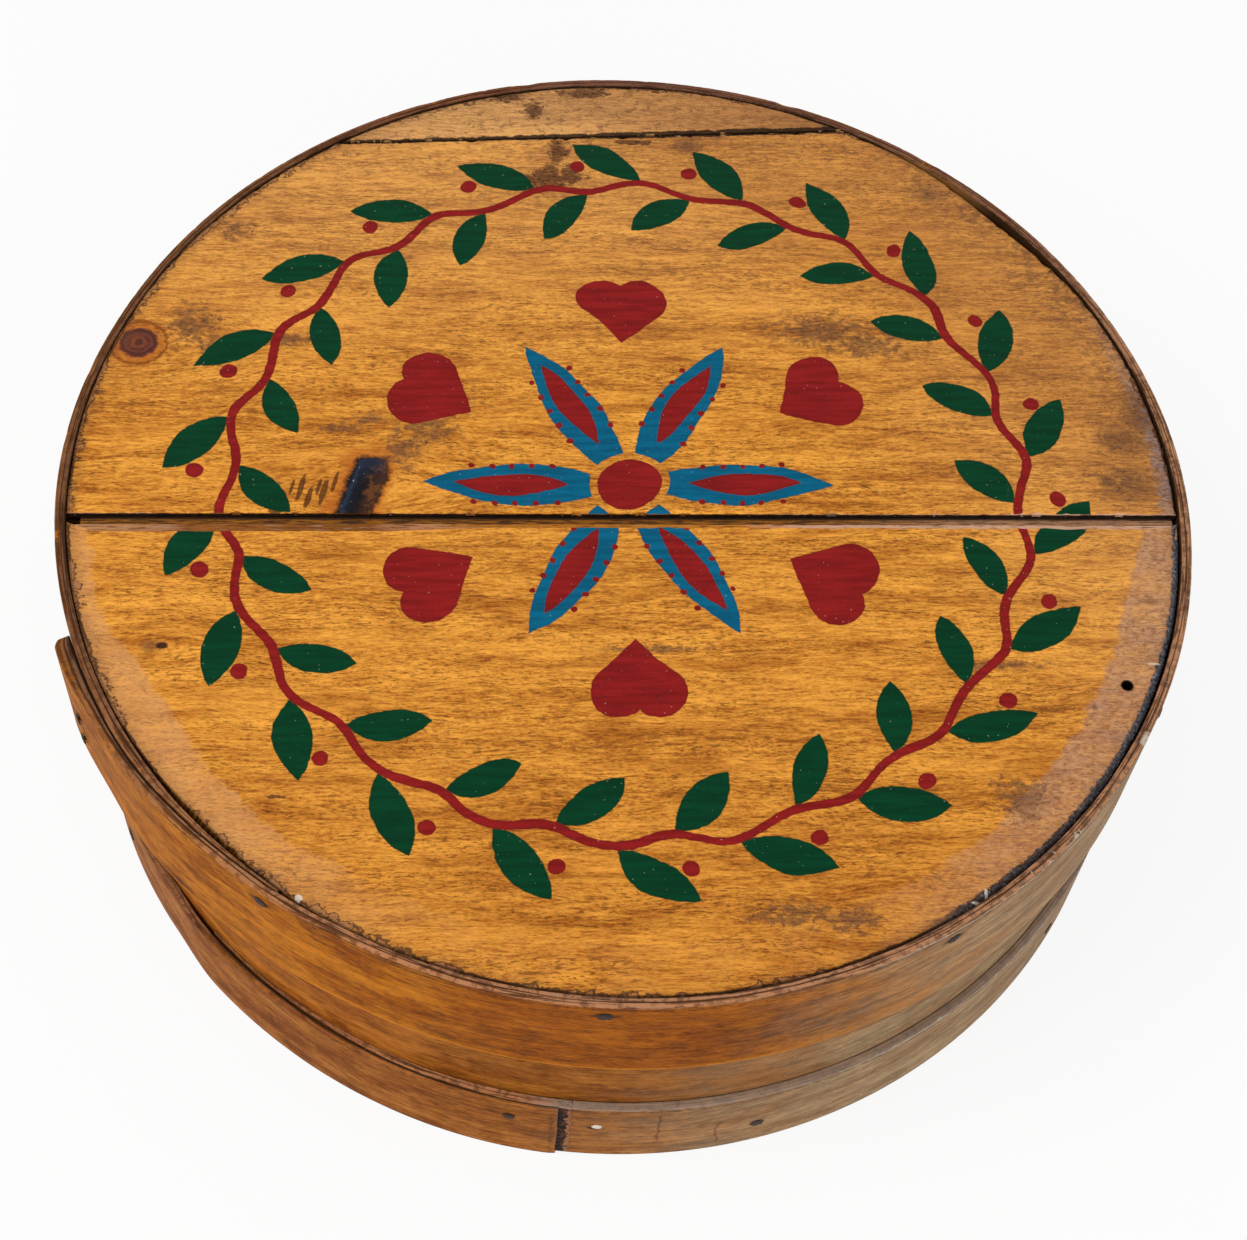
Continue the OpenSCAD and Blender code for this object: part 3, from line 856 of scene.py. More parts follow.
def band_finish(
    name,
    settings,
    band,
    tones,
    stains,
    grey_span,
    foot,
    open_lap=0.2,
    grime=0.0,
    cracks=(),
    broken_end=False,
    shaded=0.0,
    sunlit=0.0,
):
    """Old bent wood: grain along the band, iron stains, rubbed edges and a bare inner face."""
    f = Finish(name, settings)
    u, v = f.grain_map()
    total, tall = (span / MM for span in band_span(band))
    once = band.radius * tau / MM
    along = u * total
    up = v * tall
    depth = f.node("ShaderNodeAttribute", {"attribute_name": "depth"}, out="Fac")
    x, y, z = f.place()
    outside = f.step(depth, 0.35, 0.65)
    rise = up + (f.noise(along * 0.012, up * 0.03, 1.0, 2.0) - 0.5) * 16.0
    broad = f.noise(along * 0.008, rise * 0.1, depth * 0.4, 4.0, 0.6)
    streak = f.noise(along * 0.025, rise * 0.45, depth * 0.8, 3.0, 0.62)
    line = f.noise(along * 0.07, rise * 1.1, depth * 1.5, 2.0, 0.6)
    fibre = f.noise(along * 0.3, rise * 1.9, depth * 2.0, 3.0, 0.65)
    cloud = f.noise(x * 0.09, y * 0.09, z * 0.2, 3.0, 0.62)
    tone = broad * 0.2 + streak * 0.17 + line * 0.19 + fibre * 0.24 + cloud * 0.2
    dark, middle, light = tones
    wood = f.ramp(tone, (0.41, dark), (0.485, middle), (0.555, light), (0.63, light, 1.3))
    bare = f.ramp(tone, (0.38, "raw_dark"), (0.52, "raw"), (0.66, "raw", 1.12))
    dash = f.step(f.noise(along * 0.2, rise * 1.3, 7.0, 1.0), 0.59, 0.68)
    pore = f.step(f.noise((along + rise * 1.5) * 0.5, rise * 0.9, 19.0, 1.0), 0.63, 0.7)
    fleck = f.most(dash, pore * 0.8)
    wood = wood.stain("fleck", fleck * 0.55)
    scratch = f.noise((along - rise * 0.9) * 0.09, (rise + along * 0.5) * 0.9, 23.0, 2.0)
    wood = wood.stain(light, f.step(scratch, 0.66, 0.72) * 0.4, 1.5)
    blotch = f.noise(x * 0.035, y * 0.035, z * 0.06, 4.0, 0.62)
    wood = wood.tint("wash", f.step(blotch, 0.45, 0.62) * 0.85)
    glow = f.noise(x * 0.03, y * 0.03, z * 0.09 + 7.0, 4.0, 0.65)
    wood = wood.stain(light, f.step(glow, 0.53, 0.66) * 0.45, 1.1)

    # Painted shade across the front, painted light on the left, and grey weathering towards the
    # right, partly a painted reflection, with specks of white
    wood = wood.tint("wash", f.step(x, -90, -50) * f.step(x, 90, 10) * shaded)
    wood = wood.tint("floor", f.step(x, -40, -110) * sunlit, 1.5)
    grey = f.step(x - y * 0.3 + (blotch - 0.5) * 90.0, *grey_span) * GREYEST
    aged = f.between("weathered", 0.68, 1.22, f.step(tone, 0.43, 0.57))
    aged = aged.tint("wash", f.step(glow, 0.44, 0.58) * 0.6)
    wood = f.mix(wood, aged, grey)
    speck = f.step(f.noise(x * 0.6, y * 0.6, z * 0.6, 1.0), 0.71, 0.76)
    wood = wood.stain("chalk", speck * grey * 0.45, 0.8)

    # Iron stains stretched along the grain
    halo = f.nearest(along, up, stains) + (f.noise(along * 0.3, up * 0.9, 2.0, 2.0) - 0.5) * 0.8
    wood = wood.stain("soot", f.step(halo, 1.0, 0.25) * 0.85)
    crack = None
    for start, low, high, sway in cracks:
        path = along - start - (f.noise(up * 0.09, start, 0.0, 1.0) - 0.5) * sway
        here = f.step(abs(path), 0.7, 0.2) * f.step(up, low - 2, low + 2)
        here = here * f.step(up, high + 2, high - 2)
        crack = f.most(crack, here) if crack else here
    if cracks:
        wood = wood.stain("worn_dark", crack * 0.5)

    # A dark band and a white chip beside the outer end, with a painted shadow beside the chip
    rag = f.noise(along * 0.5, up * 0.5, depth * 1.5, 3.0, 0.65)
    pale_top = 0.75 if broken_end else 0.1
    if broken_end:
        ragged = (rag - 0.5) * 3.6 + (f.noise(along * 0.2, up * 0.28, 6.0, 2.0) - 0.5) * 5.0
        beyond = f.step(along, once + 1.0, once + 0.5)
        beside = f.step(along - once + ragged, -5.2, -4.2) * beyond
        wood = wood.stain("worn", beside * 0.8, 0.75)
        core = f.step(along - once + ragged * 1.3, -3.3, -2.8) * beyond
        crust = f.mix(f.colour("soot", 0.7), f.colour("worn_dark", 1.1), f.step(rag, 0.48, 0.6))
        wood = f.mix(wood, crust, core)
        # Painted shadow at the lower right of the chip
        hollow = f.step(f.patch(along, up, once - 13.2, 27.8, 2.6, 1.7) + (rag - 0.5), 1.1, 0.8)
        wood = wood.stain("soot", hollow * 0.8)
        chipped = f.step(f.patch(along, up, once - 14.3, 29.0, 1.9, 2.0) + (rag - 0.5), 1.05, 0.85)
        wood = wood.stain("chalk", chipped)

    # The inner face, darker under the upper edge except in one amber patch
    if grime:
        clean = f.step(f.patch(x, y, 138, 164, 32, 32), 1.0, 0.3) * 0.6
        bare = bare.stain("amber", clean, 0.6)
        bare = bare.stain("dirt", f.step(tall - up, grime, grime * 0.4) * (0.94 - clean), 0.4)
    wood = f.mix(bare, wood, outside)

    # Rubbed layers along the upper edge and the outer end, with a darker line under them
    to_top = f.least(tall - up, along) + (rag - 0.5) * 2.6
    top = f.step(to_top, 1.2, 0.3)
    layers = f.noise(along * 0.03, depth * 3.2 + (rag - 0.5) * 0.35, 3.0, 2.0, 0.6)
    ahead = f.step(x * 0.7 - y, -100, 140)
    lit = f.mix(f.colour("worn_dark", 2.2), f.colour("worn", 0.4), f.step(x, -40, -170))
    lit = lit.stain("worn", ahead)
    mottled = f.step(f.noise(x * 0.25, y * 0.25, z, 3.0, 0.65), 0.47, 0.6)
    lit = lit.stain("worn_dark", mottled * 0.7, 1.2)
    ledge = f.most(grey, f.step(x, -45, -25) * 0.9)
    lit = lit.stain("chalk", ledge * pale_top, 0.42)
    rubbed = lit.stain("worn_dark", f.step(layers, 0.5, 0.43) * (0.85 - ledge * pale_top), 0.45)
    split = f.step(abs(depth - 0.15 - f.noise(along * 0.02, 0.0, 9.0, 3.0) * 0.6), 0.09, 0.03)
    rubbed = rubbed.stain("worn_dark", split * (0.9 - ledge * pale_top), 0.5)
    rubbed = rubbed.stain("chalk", f.step(rag, 0.64, 0.72) * ahead * 0.6, 0.7)
    lap = band.lap / MM
    on_lap = f.step(along, lap + 6.0, lap - 6.0)
    rubbed = f.mix(rubbed, wood, on_lap * f.step(depth, 0.45, 0.6) * pale_top)
    # Painted shade beside the slit between the lap's layers, on the inner part of the upper edge
    rubbed = rubbed.stain("soot", on_lap * f.step(depth, open_lap, open_lap * 0.5), 0.6)
    wood = f.mix(wood, rubbed, top * 0.88)
    lip = f.step(abs(to_top - 0.9), 0.5, 0.15) * outside * f.step(x, 60, 110) * f.step(y, -20, -60)
    wood = wood.stain("chalk", lip * f.step(blotch, 0.38, 0.52) * 0.85, 0.75)
    groove = f.step(abs(to_top - 2.6), 1.2, 0.3) * outside
    wood = wood.stain("dirt", groove * f.step(rag, 0.4, 0.6) * 0.6)
    # A line along the lower edge: a painted highlight on the rim, a darker line on the wall and the
    # hoop
    foot_colour, foot_height = foot
    low_edge = f.step(up + (rag - 0.5) * 2.0, foot_height, foot_height * 0.5) * outside
    wood = wood.stain(foot_colour, low_edge * (0.7 - grey * 0.6), 1.15)
    roughness = 0.55 + (blotch - 0.5) * 0.2 + top * 0.1
    height = fibre * 0.08 + line * 0.12 - fleck * 0.12 - top * (layers * 0.35)
    if cracks:
        height = height - crack * 0.25
    if broken_end:
        height = height + beside * rag * 1.2 - core * 0.6 + chipped * 0.4
    return f.close(wood, roughness, height, 0.03)


def bare_finish(settings):
    """Bare, aged pine of the bottom boards."""
    f = Finish("bottom_boards_bare", settings)
    x, y, z = f.place()
    front, back = settings.bottom.front / MM, settings.bottom.back / MM
    own = f.step(y, front - 0.1, front + 0.1) * 310.0 + f.step(y, back - 0.1, back + 0.1) * 470.0
    along = x + own
    across = y + own * 1.3
    band = f.noise(along * 0.009, across * 0.09, z * 0.02, 4.0, 0.6)
    line = f.noise(along * 0.02, across * 0.55, z * 0.05, 3.0, 0.62)
    fibre = f.noise(along * 0.2, across * 2.3, z * 0.3, 2.0, 0.6)
    tone = band * 0.5 + line * 0.32 + fibre * 0.18
    wood = f.ramp(tone, (0.36, "raw_dark"), (0.5, "raw"), (0.66, "raw", 1.15))
    radius = f.length(x, y)
    blotch = f.noise(x * 0.03, y * 0.03, z * 0.1, 4.0, 0.62)
    stain = f.step(radius + (blotch - 0.5) * 60.0, 176, 206)
    wood = wood.stain("dirt", stain * 0.55, 1.6)
    wood = wood.stain("dirt", f.step(blotch, 0.56, 0.7) * 0.4, 2.0)
    below = f.step(z, 14.0, 12.4)
    wood = wood.stain("dirt", below * 0.45, 1.9)
    roughness = 0.68 + (blotch - 0.5) * 0.2
    height = fibre * 0.06 + line * 0.1 + blotch * 0.1
    return f.close(wood, roughness, height, 0.12)


def iron_finish(settings):
    """Dark old iron with rust."""
    f = Finish("nails_iron", settings)
    x, y, z = f.place()
    grit = f.noise(x * 0.9, y * 0.9, z * 0.9, 3.0, 0.6)
    iron = f.mix(f.colour("iron", 0.6), f.colour("rust"), f.step(grit, 0.44, 0.62))
    rub = f.step(f.noise(x * 0.5, y * 0.5, z * 0.5, 1.0), 0.55, 0.7)
    iron = iron.stain("iron", rub * 0.5, 1.6)
    return f.close(iron, 0.55 + (grit - 0.5) * 0.3, grit * 0.12, 0.15, 0.1)


# Modelling


def clear_selection():
    bpy.ops.object.select_all(action="DESELECT")


def choose(piece):
    clear_selection()
    piece.select_set(True)
    bpy.context.view_layer.objects.active = piece


def edit(piece, whole=False):
    """Opens a piece alone in edit mode, with faces to pick or all of it picked."""
    choose(piece)
    bpy.ops.object.mode_set(mode="EDIT")
    bpy.ops.mesh.select_mode(type="FACE")
    if whole:
        bpy.ops.mesh.select_all(action="SELECT")


def done():
    bpy.ops.object.mode_set(mode="OBJECT")


def settle():
    bpy.ops.object.transform_apply(location=True, rotation=True, scale=True)


def new_piece(name):
    piece = bpy.context.active_object
    piece.name = name
    piece.data.name = name
    return piece


def pick(piece, faces=None, edges=None):
    """Selects, in edit mode, the faces or edges that pass a test."""
    mesh = bmesh.from_edit_mesh(piece.data)
    bpy.ops.mesh.select_all(action="DESELECT")
    if faces:
        for face in mesh.faces:
            face.select_set(faces(face))
    if edges:
        bpy.ops.mesh.select_mode(type="EDGE")
        for edge in mesh.edges:
            edge.select_set(edges(edge))
    bmesh.update_edit_mesh(piece.data)


def finish_modifier(piece, kind, **values):
    """Adds a modifier and applies it."""
    choose(piece)
    modifier = piece.modifiers.new(kind.title(), kind)
    for key, value in values.items():
        setattr(modifier, key, value)
    bpy.ops.object.modifier_apply(modifier=modifier.name)


def smooth(piece, degrees=32):
    choose(piece)
    bpy.ops.object.shade_smooth_by_angle(angle=radians(degrees))


def hand_over(piece, body, slot, material, *nodes):
    """Gives a finished piece its material and its place in the frame."""
    if not piece.data.polygons:
        raise RuntimeError("nothing was left of " + piece.name)
    piece.data.materials.clear()
    piece.data.materials.append(material)
    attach(piece, body)
    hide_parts(*nodes)


def hand_over_boards(boards, nodes, body, slot, material):
    for board, node in zip(boards, nodes):
        smooth(board)
        hand_over(board, body, slot, material, node)


def ease(value):
    value = min(max(value, 0.0), 1.0)
    return value * value * (3.0 - 2.0 * value)


def ripple(*place):
    """Smooth noise from about -1 to 1, the same on every run."""
    return noise.noise(Vector((*place, 0.0, 0.0)[:3]))


def chip(*place, share=0.25):
    """Depth of a chip from 0 to 1, with none over most of an edge."""
    return max(0.0, ripple(*place) - share) / (1.0 - share)


# Bent bands


def band_span(band):
    """Length and height of a band laid flat."""
    return band.radius * tau + band.lap, band.high - band.low


def band_section(band, travel):
    """Inner radius and thickness of a band at an angle past its outer end."""
    lap = band.lap / band.radius
    start = band.full / band.radius
    most = band.thickness - (FEATHER + PLY_GAP if band.flush else 0.0)

    def under(at):
        return most + (FEATHER - most) * ease((at - start) / (lap - start))

    if travel > tau:
        return band.radius, under(travel - tau)
    end_gap = band.end_spring * (1.0 - ease(travel * band.radius / SPRING_LENGTH))
    lift = under(min(travel, lap)) + PLY_GAP + band.spring * ease(travel / lap) + end_gap
    lift *= 1.0 - ease((travel - lap) * band.radius / SETTLE_LENGTH)
    if band.flush:
        return band.radius + lift, band.thickness - lift
    growth = ease(travel / (start or lap * 1.6))
    thickness = band.end_thickness + (band.thickness - band.end_thickness) * growth
    to_end = max(0.0, 1.0 - travel * band.radius / ROUNDED_END)
    return band.radius + lift, thickness * (1.0 - 0.4 * to_end**2)


def flat_band(name, band, pitch, rows):
    """A flat strip of wood: length along X, height along Y and thickness up from Z 0."""
    clear_selection()
    total, tall = band_span(band)
    columns = round(total / pitch)
    bpy.ops.mesh.primitive_grid_add(x_subdivisions=columns, y_subdivisions=len(rows) - 1, size=1.0)
    piece = new_piece(name)
    edit(piece, whole=True)
    bpy.ops.transform.translate(value=(0.5, 0.5, 0.0))
    bpy.ops.transform.resize(value=(total, tall, 1.0), center_override=(0.0, 0.0, 0.0))
    done()
    for vertex in piece.data.vertices:
        vertex.co.y = tall * rows[round(vertex.co.y / tall * (len(rows) - 1))]
    finish_modifier(piece, "SOLIDIFY", thickness=band.thickness, offset=1.0)
    corners = {"limit_method": "ANGLE", "angle_limit": radians(40)}
    finish_modifier(piece, "BEVEL", width=BAND_BEVEL, segments=2, **corners)
    return piece


def fray_edges(piece, band, seed):
    """Chips and splinters along the edges, and a ragged outer end."""
    total, tall = band_span(band)
    for vertex in piece.data.vertices:
        s, h, d = vertex.co
        to_top = max(0.0, 1.0 - (tall - h) / FRAY_REACH)
        to_foot = max(0.0, 1.0 - h / FRAY_REACH)
        spot = s / MM
        layer = d / band.thickness
        bite = chip(spot / 11.0, layer * 0.8, seed)
        bite += 0.5 * chip(spot / 3.1, layer * 2.0, seed + 5.0)
        bite += 0.16 * abs(ripple(spot / 1.7, layer * 1.4, seed + 9.0))
        foot = chip(spot / 17.0, layer * 0.8, seed + 3.0, share=0.4)
        foot += 0.1 * abs(ripple(spot / 2.3, layer, seed + 7.0))
        vertex.co.y = h - to_top * bite * band.fray + to_foot * foot * band.fray
        to_end = max(0.0, 1.0 - s / (3.0 * MM))
        vertex.co.x = s + to_end * (0.5 + ripple(h / MM / 2.2, layer, seed)) * 0.5 * MM
        vertex.co.x = min(vertex.co.x, total)


def lay_grain(piece, band):
    """Keeps the flat place of each point, so that the grain follows the bend."""
    total, tall = band_span(band)
    mesh = piece.data
    grain = mesh.uv_layers[0]
    grain.name = "Grain"
    for corner in mesh.loops:
        place = mesh.vertices[corner.vertex_index].co
        grain.data[corner.index].uv = (place.x / total, place.y / tall)
    depth = mesh.attributes.new("depth", "FLOAT", "POINT")
    for vertex in mesh.vertices:
        depth.data[vertex.index].value = vertex.co.z / band.thickness


def bend(piece, band, wave):
    """Bends a flat strip round the box and under its own outer end."""
    for vertex in piece.data.vertices:
        travel = vertex.co.x / band.radius
        inner, thickness = band_section(band, travel)
        angle = band.end + band.way * travel
        sway = wave * ripple(cos(angle) * 3.6, sin(angle) * 3.6, vertex.co.y / MM / 40.0)
        behind = ease((sin(angle) + 0.05) / 0.5)
        near_top = ease((vertex.co.y / (band.high - band.low) - 0.75) / 0.25)
        thin = 1.0 - THIN_BACK * behind * near_top * (band.dip > 0.0)
        radius = inner + thickness * thin * vertex.co.z / band.thickness + sway
        height = band.low + vertex.co.y - band.dip * behind * near_top
        vertex.co = (radius * cos(angle), radius * sin(angle), height)
    if band.way < 0:
        edit(piece, whole=True)
        bpy.ops.mesh.flip_normals()
        done()
    piece.data.update()


ROWS = (0.0, 0.014, 0.05, 0.12, 0.25, 0.4, 0.55, 0.7, 0.82, 0.91, 0.955, 0.986, 1.0)


def bent_band(name, band, pitch, wave, seed):
    piece = flat_band(name, band, pitch, ROWS)
    fray_edges(piece, band, seed)
    lay_grain(piece, band)
    bend(piece, band, wave)
    smooth(piece)
    return piece


def nail_stains(band, rows):
    """Where the iron of some nodes' nails has stained a band, along and up it in millimetres."""
    stains = []
    for node, half_length, half_height in rows:
        for angle, height, _ in nail_places(node):
            travel = (band.way * (angle - band.end)) % tau
            spot = (travel * band.radius / MM, (height - band.low) / MM)
            stains.append((*spot, half_length, half_height))
    return stains


def make_band(settings, part, name, nails, pitch, seed, wave=0.0, **wear):
    """One bent band with its finish; its part gives its sizes and its three tones."""
    band = getattr(settings, part)
    piece = bent_band(name, band, pitch, wave, seed)
    tones = (part + "_dark", part, part + "_light")
    stains = nail_stains(band, nails)
    return piece, band_finish(name + "_wood", settings, band, tones, stains, **wear)


# Boards
OUTLINE_POINTS = 960
SEAM_CUTS = (90, 2)
WELD = 0.25 * MM
GRID_LINES = range(-8, 9)
GRID_PITCH = 23.7
GRID_SHIFT = 3.1
FLAT = 0.002 * MM
CROWN_DEPTH = 4.0 * MM
TONGUE_ROOT = 1.5 * MM
TONGUE_BEVEL = 0.5 * MM
GROOVE_ENDS = (-0.3, 0.3)
# How far the tongues stop short of the boards' ends
RIGHT_SHORT = 2.0 * MM
BACK_SHORT = 3.0 * MM
LID_SHORT = 5.0 * MM
BOTTOM_SHORT = 2.0 * MM


def saw_blank(name, panel, cuts):
    """A round blank sawn along its seams."""
    clear_selection()
    bpy.ops.mesh.primitive_circle_add(
        vertices=OUTLINE_POINTS, radius=panel.radius, fill_type="NGON"
    )
    piece = new_piece(name)
    edit(piece, whole=True)
    bpy.ops.transform.translate(value=(0.0, 0.0, panel.high))
    for distance, tilt, keep_back in cuts:
        normal = Vector((-sin(tilt), cos(tilt), 0.0))
        bpy.ops.mesh.select_all(action="SELECT")
        bpy.ops.mesh.bisect(
            plane_co=normal * distance + Vector((0.0, 0.0, panel.high)),
            plane_no=normal,
            clear_inner=keep_back,
            clear_outer=not keep_back,
        )
    for distance, tilt, keep_back in cuts:

        def on_seam(edge):
            ends = (v.co.y * cos(tilt) - v.co.x * sin(tilt) - distance for v in edge.verts)
            return all(abs(off) < TOUCH for off in ends)

        pick(piece, edges=on_seam)
        for cuts_between in SEAM_CUTS:
            bpy.ops.mesh.subdivide(number_cuts=cuts_between)
    bpy.ops.mesh.select_all(action="SELECT")
    bpy.ops.mesh.remove_doubles(threshold=WELD)
    done()
    if piece.data.polygons[0].normal.z < 0.0:
        piece.data.flip_normals()
    finish_modifier(piece, "SOLIDIFY", thickness=panel.high - panel.low, offset=-1.0)
    edit(piece, whole=True)
    bpy.ops.mesh.normals_make_consistent(inside=False)
    done()
    return piece


EDGE_RINGS = (0.0, 0.5, 1.2, 2.6)
RING_SEED = 0.02 * MM
UNDER_GAP = -0.1
ON_OUTLINE = 0.3 * MM


def ring_edges(piece):
    """Insets the upper face in close rings; each of their points keeps its ring's number."""
    edit(piece)
    pick(piece, faces=lambda face: face.normal.z > 0.9)
    for number in range(len(EDGE_RINGS)):
        mesh = bmesh.from_edit_mesh(piece.data)
        layer = mesh.verts.layers.int.get("ring") or mesh.verts.layers.int.new("ring")
        for vertex in mesh.verts:
            if vertex.select and any(not face.select for face in vertex.link_faces):
                vertex[layer] = number + 1
        bmesh.update_edit_mesh(piece.data)
        if number + 1 < len(EDGE_RINGS):
            bpy.ops.mesh.inset(thickness=RING_SEED, depth=0.0, use_even_offset=False)
    done()


def grid_face(piece, panel):
    """Cuts the flat inside of the upper face into squares."""
    level = panel.high - FLAT
    edit(piece)
    for number in GRID_LINES:
        for normal in (Vector((1.0, 0.0, 0.0)), Vector((0.0, 1.0, 0.0))):
            bpy.ops.mesh.select_mode(type="FACE")
            pick(piece, faces=lambda face: all(v.co.z > level for v in face.verts))
            place = normal * (number * GRID_PITCH + GRID_SHIFT) * MM
            bpy.ops.mesh.bisect(plane_co=place, plane_no=normal)
    done()


def bell(value, middle, half):
    """A smooth hump of 1 at the middle."""
    return exp(-(((value - middle) / half) ** 2))


def lid_gap(degrees):
    """How far the lid's boards stand clear of the rim, in millimetres."""
    wide = 3.4 * bell(degrees, 40, 9) + 2.4 * bell(degrees, -137, 7)
    wide -= 0.4 * bell(abs(degrees), 172, 26)
    return 0.5 + wide - 0.3 * bell(degrees, 95, 35) + 0.3 * ripple(degrees / 7.0, 2.0)


def lid_slope(degrees):
    """How far the lid's edge is chamfered, as a multiple of the plain rounding."""
    filled = 0.3 * ease((degrees + 72) / 12) * ease((2 - degrees) / 8)
    return 1.0 + filled - 0.35 * ease((abs(degrees) - 120) / 30)


def lid_chips(degrees):
    """How strongly the lid's edge is chipped."""
    strength = 0.35 + 1.3 * bell(degrees, -128, 9) + 0.5 * bell(degrees, 45, 25)
    return strength + 0.4 * bell(degrees, -100, 14)


def bottom_gap(degrees):
    """How far the bottom boards stand clear of the wall, in millimetres."""
    return 0.1 + 0.1 * ripple(degrees / 9.0, 5.0)


def bottom_slope(degrees):
    """How far the bottom's edge is chamfered, the same all round."""
    return 0.8


def bottom_chips(degrees):
    """How strongly the bottom's edge is chipped, the same all round."""
    return 0.15


DROP = (0.0, 0.9, 0.36, 0.08, 0.0)
CHIP_DROP = (0.0, 2.6, 1.9, 0.8, 0.0)
STRIP_DROP = (0.0, 1.7, 1.25, 1.1, 0.0)
SHOULDER = 2.3 * MM


def strip_width(x):
    """Width of the worn strip along the front board's seam, at a place along it, in millimetres."""
    ragged = 0.7 * ripple(x / 9.0, 4.0) + 0.45 * ripple(x / 3.1, 9.0)
    return 2.3 + 1.7 * ease((-40 - x) / 60) + ragged * (0.4 + 0.6 * ease((x + 40) / 80))


def wear_board(piece, panel, cuts, gap, slope, chips, seed, strip):
    """Opens the gap to the band, and spreads the rings into rounded, chipped upper edges."""
    ring_of = piece.data.attributes["ring"].data
    for vertex in piece.data.vertices:
        x, y, z = vertex.co
        ring = ring_of[vertex.index].value
        inset = EDGE_RINGS[ring - 1] if ring else 0.0
        degrees = atan2(y, x) * 180 / pi
        to_arc = panel.radius - hypot(x, y)
        seams = []
        for distance, tilt, keep_back in cuts:
            inward = Vector((-sin(tilt), cos(tilt), 0.0)) * (1.0 if keep_back else -1.0)
            seams.append((inward, vertex.co.dot(inward) - distance * (1.0 if keep_back else -1.0)))
        drop = 0.0
        push = Vector((0.0, 0.0, 0.0))
        if to_arc < ON_OUTLINE:
            room = 0.4 * min(off for _, off in seams) / MM
            spot = degrees * 3.7
            bite = chips(degrees) * chip(spot / 9.0, seed) + 0.4 * chip(spot / 2.6, seed + 2.0)
            wide = min(inset * slope(degrees) + (0.7 * bite if ring else 0.0), max(room, 0.0))
            stand = gap(degrees) if ring else UNDER_GAP
            push -= Vector((x, y, 0.0)).normalized() * (stand + wide) * MM
            uneven = 1.0 + 0.5 * ripple(spot / 5.0, seed + 1.0)
            drop += DROP[ring] * slope(degrees) ** 1.6 * uneven
            drop += CHIP_DROP[ring] * bite
        for inward, off in seams:
            if off < ON_OUTLINE and ring:
                spot = x / MM
                room = max(0.4 * to_arc / MM, 0.0)
                if strip:
                    wide = max(strip(spot), 0.8)
                    push += inward * min((0.0, 0.3, wide, wide + 0.3)[ring - 1], room) * MM
                    drop += STRIP_DROP[ring] * (1.0 + 0.25 * ripple(spot / 4.0, inset * 3.0))
                    continue
                bite = 1.3 * chip(spot / 8.0, seed + 4.0) + 0.8 * chip(spot / 2.4, seed + 6.0)
                splinter = 0.5 * abs(ripple(spot / 2.0, seed + 8.0))
                share = 1.0 - inset / EDGE_RINGS[-1]
                wide = min(inset + (bite + splinter) * share, room)
                push += inward * wide * MM
                uneven = 0.7 + 0.4 * ripple(spot / 6.0, seed)
                drop += DROP[ring] * uneven + CHIP_DROP[ring] * bite * 0.5
        vertex.co = vertex.co + push
        vertex.co.z = z - drop * MM
    piece.data.update()


def crown_face(piece, panel, seed):
    """Lifts the middle of the upper face a little, unevenly."""
    for vertex in piece.data.vertices:
        x, y, z = vertex.co
        if z > panel.high - CROWN_DEPTH:
            crown = 1.0 - (hypot(x, y) / panel.radius) ** 2
            rise = 0.35 * crown + 0.25 * ripple(x * 9.0, y * 14.0, seed)
            vertex.co.z = z + rise * MM
    piece.data.update()


def seam_bar(seam, tilt, start, width, low, high, left, right):
    """A bar along a seam, as a tongue or to cut a groove."""
    clear_selection()
    bpy.ops.mesh.primitive_cube_add(size=1.0)
    bar = new_piece("seam_bar")
    edit(bar, whole=True)
    bpy.ops.transform.resize(value=(right - left, width, high - low))
    middle = ((left + right) / 2, seam + start + width / 2, (low + high) / 2)
    bpy.ops.transform.translate(value=middle)
    bpy.ops.transform.rotate(value=-tilt, orient_axis="Z", center_override=(0.0, 0.0, 0.0))
    done()
    return bar


def combine(piece, other, name):
    """Joins or cuts a piece with another, which is used up."""
    finish_modifier(piece, "BOOLEAN", object=other, operation=name, solver="MANIFOLD")
    bpy.data.objects.remove(other, do_unlink=True)


def joint_boards(panel, front, behind, seam, tilt, gap, left_short, shoulder=0.0):
    """Gives the board in front of a seam its tongue, and the one behind it the groove."""
    middle = (panel.low + panel.high) / 2
    half = panel.tongue / 2
    chord = (panel.radius**2 - seam**2) ** 0.5
    ends = (-chord + left_short, chord - RIGHT_SHORT)
    root = -gap / 2 - TONGUE_ROOT
    reach = panel.tongue_reach + TONGUE_ROOT
    tongue = seam_bar(seam, tilt, root, reach, middle - half, middle + half, *ends)
    finish_modifier(tongue, "BEVEL", width=TONGUE_BEVEL, segments=2)
    wide = half + panel.play
    mouth = gap / 2 - TONGUE_ROOT
    reach = panel.tongue_reach + panel.play + TONGUE_ROOT
    groove = seam_bar(seam, tilt, mouth, reach, middle - wide, middle + wide, *GROOVE_ENDS)
    combine(behind, groove, "DIFFERENCE")
    combine(front, tongue, "UNION")
    if shoulder:
        reach = gap + TONGUE_ROOT - panel.play
        step = seam_bar(seam, tilt, root, reach, middle, panel.high - shoulder, *ends)
        combine(front, step, "UNION")


